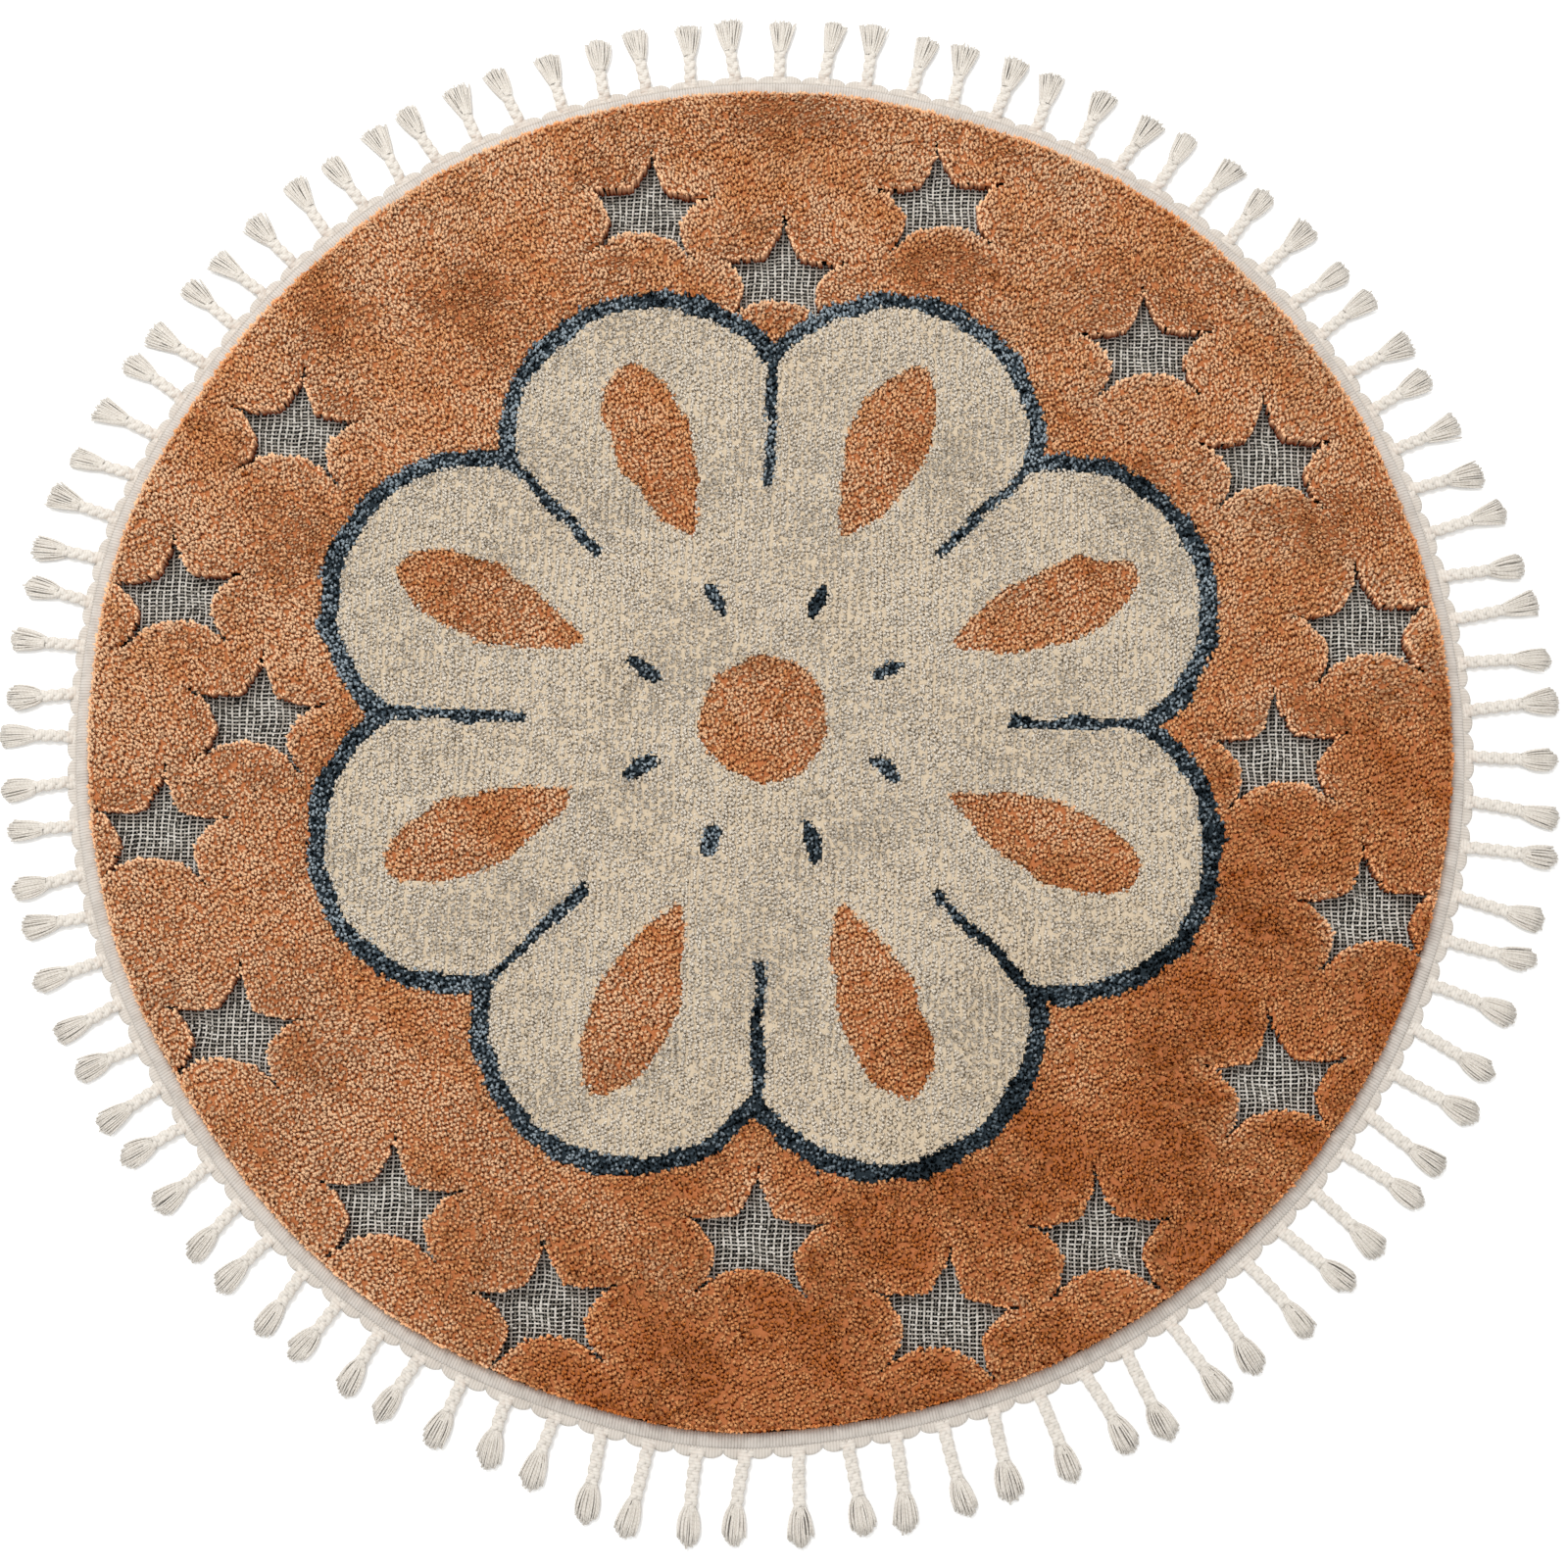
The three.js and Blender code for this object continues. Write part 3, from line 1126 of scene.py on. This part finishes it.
    def knots(self) -> Locks:
        """Stands a pair of locks at every knot of the weave's rows.

        Returns:
            The locks.
        """
        counts = [int(self.rim.radius / pitch) for pitch in (self.row_pitch, self.tuft_pitch)]
        column, row = lattice(*(np.arange(-count, count + 1) for count in counts)).T
        row = row + uneven(column, GOLDEN)
        spots = np.stack([column * self.row_pitch, row * self.tuft_pitch], axis=1)
        count = len(spots)
        plain = self.flower.yarn_at(spots) != Yarn.CREAM
        # The cream's rows show as fine lines, and the terracotta's run together
        spots[:, 0] += drift(spots, self.row_drift)
        astray = np.where(plain, *self.knot_scatter)
        spots += (self.rng.normal(0, 1, (2, count)) * astray).T * [1, self.along_row]
        tone = 1 - self.rng.exponential(1, count)
        spread = np.tile(self.lock_spread, (count, 1))
        spread[:, 0] *= np.where(plain, 1, self.cream_spread)
        pairs = np.concatenate([spots - spread, spots + spread])
        astray = np.tile(np.where(plain, *self.lock_scatter), 2)
        pairs += (self.rng.normal(0, 1, (2, 2 * count)) * astray).T
        return self.grown(pairs, np.tile(tone, 2))

    def edge_spots(self) -> Array:
        """Evenly spaced places a little way inside the pile's edges.

        Returns:
            The places along the outer edge first, then those round each star.
        """
        turn = np.linspace(0, TURN, 720, endpoint=False)
        lines = [circle((self.rim.pile - self.edge_line) * self.rim.stretch(turn), turn)]
        for place in self.stars.places:
            outline = self.stars.outline(place)
            edge = np.roll(outline, -1, axis=0) - np.roll(outline, 1, axis=0)
            normal = -left_of(edge) / np.linalg.norm(edge, axis=1)[:, None]
            lines.append(outline + normal * self.edge_line)
        spots = []
        for line in lines:
            closed = np.concatenate([line, line[:1]])
            steps = np.linalg.norm(np.diff(closed, axis=0), axis=1)
            length = np.concatenate([[0], np.cumsum(steps)])
            stops = np.linspace(0, length[-1], int(length[-1] / self.edge_pitch), endpoint=False)
            spots.append(np.stack([np.interp(stops, length, side) for side in closed.T], axis=1))
        return np.concatenate(spots)

    def edges(self) -> Locks:
        """Stands stout locks side by side along the outer edge and round every star.

        Returns:
            The locks, which start at the ground.
        """
        spots = self.edge_spots()
        loose = np.where(self.inset(spots) < self.edge_zone, self.edge_hold, 1.0)
        spots += self.rng.normal(0, self.edge_scatter, spots.shape) * loose[:, None]
        locks = self.grown(spots, np.zeros(len(spots)))
        count = len(locks.top)
        loose = np.where(self.inset(locks.spots) < self.edge_zone, self.edge_stiff, 1.0)
        locks.foot = np.full(count, self.ground - 1)
        locks.radius = self.edge_radius * self.rng.uniform(*self.edge_sizes, count)
        locks.top += self.rng.normal(0, self.edge_top_spread, count)
        locks.lean += self.rng.normal(0, self.edge_lean_spread, (count, 2)) * loose[:, None]
        return locks

    def leaning(self, surface: Surface, locks: Locks) -> None:
        """Adds locks that lean over, each a leaf that is widest past its middle.

        Args:
            surface: The mesh that takes them.
            locks: The locks.
        """
        count = len(locks.top)
        turn = np.arctan2(*locks.lean.T[::-1]) + self.rng.normal(0, self.astray, count)
        ahead = circle(1, turn)
        side = left_of(ahead) * locks.radius[:, None]
        ahead *= self.lock_length * self.rng.normal(1, self.length_spread, count)[:, None]
        shoulder = locks.spots + self.widest * ahead
        low = locks.top - self.side_drop * (locks.top - locks.foot)
        # The last value of each corner is its shade mark: painted shade at the root, and over the whole
        # lock where it is short and sunk
        corners = (
            (locks.spots + 0.5 * ahead, locks.top, locks.tip),
            (locks.spots - 0.5 * ahead, locks.foot, np.array(self.root_depth)[locks.yarn]),
            (shoulder + side, low, 0.5 * locks.tip),
            (shoulder - side, low, 0.5 * locks.tip),
        )
        points = np.stack([np.column_stack([flat, height]) for flat, height, _ in corners], axis=1)
        faces = np.array([[0, 2, 1], [1, 3, 0], [0, 3, 2], [1, 2, 3]])
        surface.add(
            points.reshape(-1, 3),
            [repeat_faces(faces, count, 4)],
            tone=np.repeat(locks.tone, 4),
            depth=np.stack([depth for *_, depth in corners], axis=1).ravel(),
        )

    def stout(self, surface: Surface, locks: Locks) -> None:
        """Adds three-sided locks that keep their width up to a shoulder.

        Args:
            surface: The mesh that takes them.
            locks: The locks.
        """
        count = len(locks.top)
        turn = self.rng.uniform(0, TURN, count)
        points = np.zeros((count, 7, 3))
        levels = ((0.0, locks.foot), (self.shoulder_lean, locks.top - self.edge_shoulder))
        for level, (share, height) in enumerate(levels):
            for corner in range(3):
                here = points[:, 3 * level + corner]
                here[:, :2] = locks.spots + circle(locks.radius, turn + corner * TURN / 3)
                here[:, :2] += share * locks.lean
                here[:, 2] = height
        points[:, 6] = np.column_stack([locks.spots + locks.lean, locks.top])
        sides = np.array([[0, 1, 4, 3], [1, 2, 5, 4], [2, 0, 3, 5]])
        caps = np.array([[3, 4, 6], [4, 5, 6], [5, 3, 6]])
        # Painted shade at the foot of the walls round the sunk stars, and painted light that lifts it
        # along the open outer edge
        lit = np.where(self.inset(locks.spots) < self.edge_zone, self.rim_light, 0.0)
        depth = np.repeat(self.edge_depths, [3, 3, 1]) + lit[:, None]
        surface.add(
            points.reshape(-1, 3),
            [repeat_faces(sides, count, 7), repeat_faces(caps, count, 7)],
            tone=np.repeat(locks.tone, 7),
            depth=depth.ravel(),
        )

    def bed(self, surface: Surface, yarn: Yarn, side: int) -> None:
        """Closes the gaps between the locks with a sunk surface of the same yarn.

        Args:
            surface: The mesh that takes it.
            yarn: The yarn whose places are covered.
            side: -1 for the left half, 1 for the right half, 0 for both.
        """
        count = int(self.rim.radius / self.bed_cell) + 1
        steps = np.arange(-count, count)
        spots = (lattice(steps, steps) + 0.5) * self.bed_cell
        spots = spots[self.inset(spots) > -self.bed_cell]
        clear = self.bed_clear * self.bed_cell
        whole = (self.inset(spots) > clear) & (self.stars.distance(spots) > clear)
        for corner in SQUARE * self.bed_cell / 2:
            whole &= self.flower.yarn_at(spots + corner) == self.flower.yarn_at(spots)
        fine = self.bed_cell / self.bed_split
        shift = (np.arange(self.bed_split) - (self.bed_split - 1) / 2) * fine
        parts = (spots[~whole][:, None] + lattice(shift, shift)).reshape(-1, 2)
        clear = (self.inset(parts) > self.bed_gap) & (self.stars.distance(parts) > self.bed_gap)
        for middles, size in ((spots[whole], self.bed_cell), (parts[clear], fine)):
            kept = (self.flower.yarn_at(middles) == yarn) & on_side(middles, side)
            places = (middles[kept][:, None] + SQUARE * size / 2).reshape(-1, 2)
            height = self.top_at(places, self.stars.distance(places)) - self.rooted[yarn]
            # The bed gets a darker tone and painted shade
            surface.add(
                np.column_stack([places, height + self.bed_rise]),
                [np.arange(len(places)).reshape(-1, 4)],
                tone=self.bed_tone,
                depth=self.bed_shading,
            )

    def pieces(self, finishes: dict[Yarn, Material]) -> list[Piece]:
        """Makes the pile's pieces, one for each yarn and half of the rug.

        Args:
            finishes: The finish of each yarn.

        Returns:
            The pieces.
        """
        knots, edges = self.knots(), self.edges()
        made = []
        for yarn in Yarn:
            halves = ((0, ""),) if yarn is Yarn.SLATE else ((-1, "_left"), (1, "_right"))
            for side, suffix in halves:
                surface = Surface()
                self.bed(surface, yarn, side)
                for locks, add in ((knots, self.leaning), (edges, self.stout)):
                    kept = (locks.yarn == yarn) & on_side(locks.spots, side)
                    add(surface, locks.only(kept))
                name = f"pile_{yarn.name.lower()}{suffix}"
                made.append(surface.finish(name, finishes[yarn]))
        return made


@dataclass
class Binding:
    """The ribbed tape that is folded over the rug's rim.

    The profile gives the radius and height of each ring, and how much of the rib it has.
    """

    rim: Rim
    rib_pitch: float = 2.6
    rib_rise: float = 0.8
    upright_below: float = 3.4
    profile: Rows = (
        (579.4, 3.4, 0.0), (579.6, 4.9, 0.6), (583.5, 5.2, 1.0), (587.5, 4.7, 1.0),
        (590.2, 3.7, 0.9), (591.4, 2.9, 0.6), (591.5, 0.0, 0.0),
    )

    def piece(self, finish: Material) -> Piece:
        """Turns the tape's profile round the rug, a rib at every other step.

        Args:
            finish: The tape's finish.

        Returns:
            The tape.
        """
        steps = np.arange(2 * int(TURN * self.rim.radius / self.rib_pitch))
        raised = np.where(steps % 2 == 0, 0.5, -0.5) * self.rib_rise
        rows = [
            (
                radius + raised * share * (height <= self.upright_below),
                np.maximum(height + raised * share * (height > 1), 0),
            )
            for radius, height, share in self.profile
        ]
        return self.rim.band("binding_tape", steps * TURN / len(steps), rows, finish)


@dataclass(frozen=True)
class Course:
    """How one tassel runs over the floor, and how far its brush is fanned out."""

    root: Array
    heading: float
    curl: float
    length: float
    fan: float
    index: float

    def laid(self, along: Array, out: Array, up: Array) -> Array:
        """Lays points of the tassel out on the floor.

        Args:
            along: Each point's distance from the root.
            out: Its distance to the side of the tassel's middle.
            up: Its height.

        Returns:
            Rows of x, y and z.
        """
        swing = self.curl * along * (1 - along / self.length)
        ahead = circle(1, self.heading)
        flat = self.root + along[..., None] * ahead + (swing + out)[..., None] * left_of(ahead)
        return np.concatenate([flat, up[..., None]], axis=-1).reshape(-1, 3)


@dataclass
class Fringe:
    """The scalloped strip outside the tape, and the plaited tassels on it.

    The reaches say how far the tassels reach past the lobes from each heading in degrees on.
    """

    rim: Rim
    tassels: int = 94
    first: float = -math.pi / 2
    strip_inner: float = 590.9
    strip_crest: float = 594.0
    lobe_depth: float = 4.8
    lobe_fullness: float = 0.6
    lobe_steps: int = 16
    lobes_per_tassel: int = 2
    ruck: float = 0.3
    root_radius: float = 593.0
    brush: float = 25.0
    place_jitter: float = 0.07
    length_jitter: float = 5.0
    neck_lean: float = 7.0
    neck_curl: float = 0.09
    neck_overlap: float = 3.0
    neck_tight: float = 0.16
    plait_cycle: float = 27.0
    strands: int = 3
    strand_sides: int = 6
    strand_rings: int = 26
    strand_wide: float = 3.3
    strand_high: float = 2.3
    plait_sway: float = 2.55
    plait_rise: float = 1.15
    root_flare: float = 0.5
    root_height: float = 0.6
    sewn_high: float = 0.6
    sewn_wide: float = 0.08
    flat_length: float = 9.0
    tight_length: float = 7.0
    phase_spread: float = 1.7
    plait_middle: float = 3.9
    ply_pitch: float = 2.6
    ply_wind: float = 1.6
    hairs: int = 52
    hair_rings: int = 5
    hair_radius: float = 1.15
    hair_root: float = 5.0
    hair_ply: float = 3.2
    hair_taper: float = 0.2
    brush_swell: float = 1.55
    brush_half: float = 4.4
    brush_open: float = 5.6
    open_spread: float = 1.8
    bulb_fullness: float = 0.7
    brush_high: float = 2.9
    brush_drop: float = 0.9
    brush_lift: float = 0.8
    brush_flatten: float = 0.1
    end_round: float = 0.34
    fan_round: float = 0.26
    place_scatter: float = 0.05
    end_scatter: float = 0.04
    tip_scatter: float = 0.7
    fan_at_top: float = 0.45
    fan_spread: float = 0.7
    fan_width: float = 1.9
    fan_fullness: float = 0.9
    reaches: Rows = (
        (0, 71), (10, 65), (18, 56), (57, 54), (131, 56), (188, 54), (256, 68), (300, 70),
    )

    def strip(self, finish: Material) -> Piece:
        """Makes the strip, with its outer edge in lobes.

        Args:
            finish: The strip's finish.

        Returns:
            The strip.
        """
        step = np.arange(self.tassels * self.lobes_per_tassel * self.lobe_steps)
        across = (step % self.lobe_steps) / self.lobe_steps
        full = np.sin(math.pi * across) ** self.lobe_fullness
        edge = self.rim.radius + self.lobe_depth * (full - 1)
        puff = 0.5 + 0.5 * full
        ruck = self.ruck * np.where(step % 2 == 0, 1, -1)
        rows = (
            (self.strip_inner, 0.9),
            (self.strip_inner + 0.3, 2.6 + ruck),
            (self.strip_crest, 2.4 + ruck),
            (edge - 2.6, 2.0 + 0.4 * puff + ruck),
            (edge - 0.9, 0.9 + 1.2 * puff + ruck),
            (edge, 0.9 * puff),
            (edge - 0.3, 0.0),
        )
        return self.rim.band("fringe_strip", self.first + step * TURN / len(step), rows, finish)

    def courses(self) -> list[Course]:
        """Spreads the tassels round the rim, each with its own direction and length.

        Returns:
            Where each tassel's root lies, and how it runs from there.
        """
        index = np.arange(self.tassels, dtype=float)
        angle = self.first + TURN / self.tassels * (index + self.place_jitter * uneven(index, 0.755))
        starts, reaches = np.array(self.reaches, float).T
        reach = reaches[np.searchsorted(starts, np.degrees(angle) % 360, side="right") - 1]
        reach = reach + self.length_jitter * uneven(index, GOLDEN)
        # The tassels at the top of the design are fanned out more
        fan = 0.5 + self.fan_at_top * np.sin(angle) + self.fan_spread * uneven(index, 0.53)
        rows = zip(
            circle(self.root_radius, angle),
            angle + np.radians(2 * self.neck_lean * uneven(index, 0.414)),
            2 * self.neck_curl * uneven(index, 0.27),
            self.rim.radius + reach - self.root_radius,
            np.clip(fan, 0, 1),
            index,
        )
        return [Course(*row) for row in rows]

    def plaits(self, finish: Material) -> Piece:
        """Makes every tassel's neck, a plait of three strands.

        Args:
            finish: The yarn's finish.

        Returns:
            One joined piece.
        """
        surface = Surface()
        ring = np.arange(self.strand_sides) / self.strand_sides * TURN - math.pi / 2
        share = np.linspace(0, 1, self.strand_rings)
        for course in self.courses():
            neck = course.length - self.brush
            along = share * (neck + self.neck_overlap)
            # Flat where it is sewn on, and drawn in a little before the brush
            flat = smooth(0, self.flat_length, along)
            tight = 1 - self.neck_tight * smooth(neck - self.tight_length, neck, along)
            tight += self.root_flare * (1 - smooth(0, self.tight_length, along))
            high = self.strand_high * (self.sewn_high + (1 - self.sewn_high) * flat) * tight
            wide = 1 + self.sewn_wide - self.sewn_wide * flat
            for strand in range(self.strands):
                phase = TURN * (along / self.plait_cycle + strand / self.strands)
                phase += self.phase_spread * uneven(course.index, 0.33)
                sway = self.plait_sway * np.sin(phase) * tight * wide
                lift = self.plait_rise * np.sin(2 * phase) * flat * tight
                middle = self.root_height + (self.plait_middle - self.root_height) * flat + lift
                out = sway[:, None] + self.strand_wide * tight[:, None] * np.cos(ring)
                up = np.maximum(middle[:, None] + high[:, None] * np.sin(ring), LEAST_HEIGHT)
                points = course.laid(np.broadcast_to(along[:, None], out.shape), out, up)
                lay = np.where(np.cos(phase) > 0, 1.0, -1.0).mean()
                # The twist mark winds the ply grooves round the strand, and the finish paints shade
                # into them
                twist = TURN * along[:, None] / self.ply_pitch + ring * self.ply_wind * lay
                faces = tube_faces(self.strand_rings, self.strand_sides)
                surface.add(self.rim.follow(points), [faces], twist=twist.ravel())
        return surface.finish("tassel_plaits", finish)

    def brushes(self, finish: Material) -> Piece:
        """Makes every tassel's brush of cut yarn ends.

        Args:
            finish: The yarn's finish.

        Returns:
            One joined piece.
        """
        rng = np.random.default_rng(SEED + 20)
        surface = Surface()
        order = np.arange(self.hairs)
        place = circle(np.sqrt((order + 0.5) / self.hairs), order * math.pi * (3 - math.sqrt(5)))
        share = np.linspace(0, 1, self.hair_rings)
        corner = np.arange(3) * TURN / 3 + math.pi / 2
        size = 3 * self.hair_rings
        tip = np.array([[0, 1, 2]]) + size - 3
        faces = [repeat_faces(part, self.hairs, size) for part in (tube_faces(self.hair_rings, 3), tip)]
        radius = (self.hair_radius * (1 - self.hair_taper * share**3))[:, None]
        for course in self.courses():
            side = place[:, 0] + rng.normal(0, self.place_scatter, self.hairs)
            fan = course.fan
            ends = 1 - (self.end_round - self.fan_round * fan) * side**2
            ends += rng.normal(0, self.end_scatter, self.hairs)
            along = share * (self.brush * ends[:, None] + self.hair_root) - self.hair_root
            opened = np.clip((along + self.hair_root) / (self.brush_swell * self.brush), 0, 1)
            bulb = np.sin(math.pi * opened) ** self.bulb_fullness
            shape = bulb + (self.fan_width * opened**self.fan_fullness - bulb) * fan
            opening = self.brush_open + self.open_spread * uneven(course.index, 0.37)
            half = self.brush_half + opening * shape
            out = side[:, None] * half + rng.normal(0, self.tip_scatter, (self.hairs, 1)) * share**3
            deep = self.brush_high - self.brush_drop * smooth(0.5 * self.brush, self.brush, along)
            up = self.brush_lift + deep + place[:, 1:] * deep * (1 - self.brush_flatten * opened)
            across = out[..., None] + radius * np.cos(corner)
            height = np.maximum(up[..., None] + radius * np.sin(corner), LEAST_HEIGHT)
            reach = np.broadcast_to((course.length - self.brush + along)[..., None], across.shape)
            # The twist mark winds the ply grooves round each hair, and the finish paints shade into
            # them
            twist = TURN * along / self.hair_ply + rng.uniform(0, 6, (self.hairs, 1))
            points = self.rim.follow(course.laid(reach, across, height))
            surface.add(points, faces, twist=np.repeat(twist.ravel(), 3))
        return surface.finish("tassel_brushes", finish)


# The room


@dataclass(frozen=True)
class Studio:
    """The photograph's view, a plain white floor and soft light."""

    camera_place: tuple[float, float, float] = (85.0, -444.0, 1955.0)
    camera_turn: tuple[float, float, float] = (11.37, 1.74, 1.19)
    lens: float = 53.95
    sensor: float = 36.0
    floor_size: float = 9000.0
    floor_drop: float = 0.2
    floor_colour: str = "#fbfbfa"
    sky: float = 1.05
    lamp_place: tuple[float, float, float] = (-1500, 2300, 4200)
    lamp_size: float = 1500.0
    lamp_power: float = 132.0

    def camera(self) -> None:
        """Sets the camera up."""
        data = bpy.data.cameras.new("camera")
        data.lens = self.lens
        data.sensor_width = self.sensor
        camera = link_object("camera", data)
        camera.location = [c * MM for c in self.camera_place]
        camera.rotation_euler = Euler([math.radians(a) for a in self.camera_turn], "XYZ")
        bpy.context.scene.camera = camera

    def floor(self) -> None:
        """Lays the floor just under the rug."""
        mesh = bpy.data.meshes.new("floor")
        corners = np.column_stack([SQUARE * self.floor_size / 2, np.full(4, -self.floor_drop)])
        mesh.from_pydata((corners * MM).tolist(), [], [(0, 1, 2, 3)])
        mesh.materials.append(Paint("painted_floor", self.floor_colour).material())
        link_object("floor", mesh)

    def light(self) -> None:
        """Lights the room evenly, with more light from a soft square lamp at the top left."""
        world = bpy.data.worlds.new("studio")
        world.use_nodes = True
        sky = {"Color": (1, 1, 1, 1), "Strength": self.sky}
        wire(world.node_tree, world.node_tree.nodes["Background"], sky)
        bpy.context.scene.world = world
        bpy.context.scene.view_settings.view_transform = "Standard"
        data = bpy.data.lights.new("key", "AREA")
        data.size = self.lamp_size * MM
        data.energy = self.lamp_power
        lamp = link_object("key", data)
        lamp.location = [c * MM for c in self.lamp_place]
        lamp.rotation_euler = (-lamp.location).to_track_quat("-Z", "Y").to_euler()


def main() -> None:
    """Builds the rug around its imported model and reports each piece."""
    logging.basicConfig(level=logging.INFO, format="%(name)s %(message)s")
    studio = Studio()
    studio.camera()
    rim, stars, flower = Rim(), StarField(), FlowerDesign()
    # Each yarn's first colour is painted shade, down between the tufts and at the foot of walls
    colours = {
        Yarn.TERRACOTTA: ("#762404", "#c07038", "#eca972", "#fbcba0"),
        Yarn.CREAM: ("#998567", "#e4d0b1", "#f0e3d0", "#f2e7d7"),
        Yarn.SLATE: ("#010203", "#141a1e", "#4c5962", "#a3b0b8"),
    }
    yarns = {
        yarn: CutPile(f"polypropylene_cut_pile_{yarn.name.lower()}", *shades).material()
        for yarn, shades in colours.items()
    }
    # The weave's first colour is painted shade, between its threads and at their feet
    bare_weave = CutPile(
        "woven_polyester_ground", "#070605", "#524e48", "#9a958b", "#d5d1c9", sheen=0.1
    ).material()
    # Each cotton's second colour is painted shade in its grooves
    tape_cotton = SpunYarn("cotton_tape_ribbed", "#c5beb6", "#8c8278").material()
    white_cotton = SpunYarn("cotton_yarn_plaited", "#d2ccc3", "#b2aba1", twist_depth=0.1).material()
    cut_cotton = SpunYarn("cotton_yarn_cut_ends", "#d8d2c9", "#bdb5aa", twist_depth=0.1).material()
    strip_cotton = SpunYarn("cotton_braid_scalloped", "#c9c2b9", "#a69d92", patch=14.0).material()
    jute = JuteBack("jute_woven_back", "#9a8b76", "#55493a").material()

    ground = WovenGround(rim, stars)
    sheet = ground.slab(bare_weave, jute)
    weave = ground.threads(bare_weave)
    pile = Pile(rim, stars, flower).pieces(yarns)
    tape = Binding(rim).piece(tape_cotton)
    fringe = Fringe(rim)
    strip = fringe.strip(strip_cotton)
    plaits = fringe.plaits(white_cotton)
    brushes = fringe.brushes(cut_cotton)

    for piece in (sheet, weave, *pile):
        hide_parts("rug_body")
    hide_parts("edge_binding")
    for piece in (strip, plaits, brushes):
        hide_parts("fringe")
    studio.floor()
    studio.light()


if __name__ == "__main__":
    main()
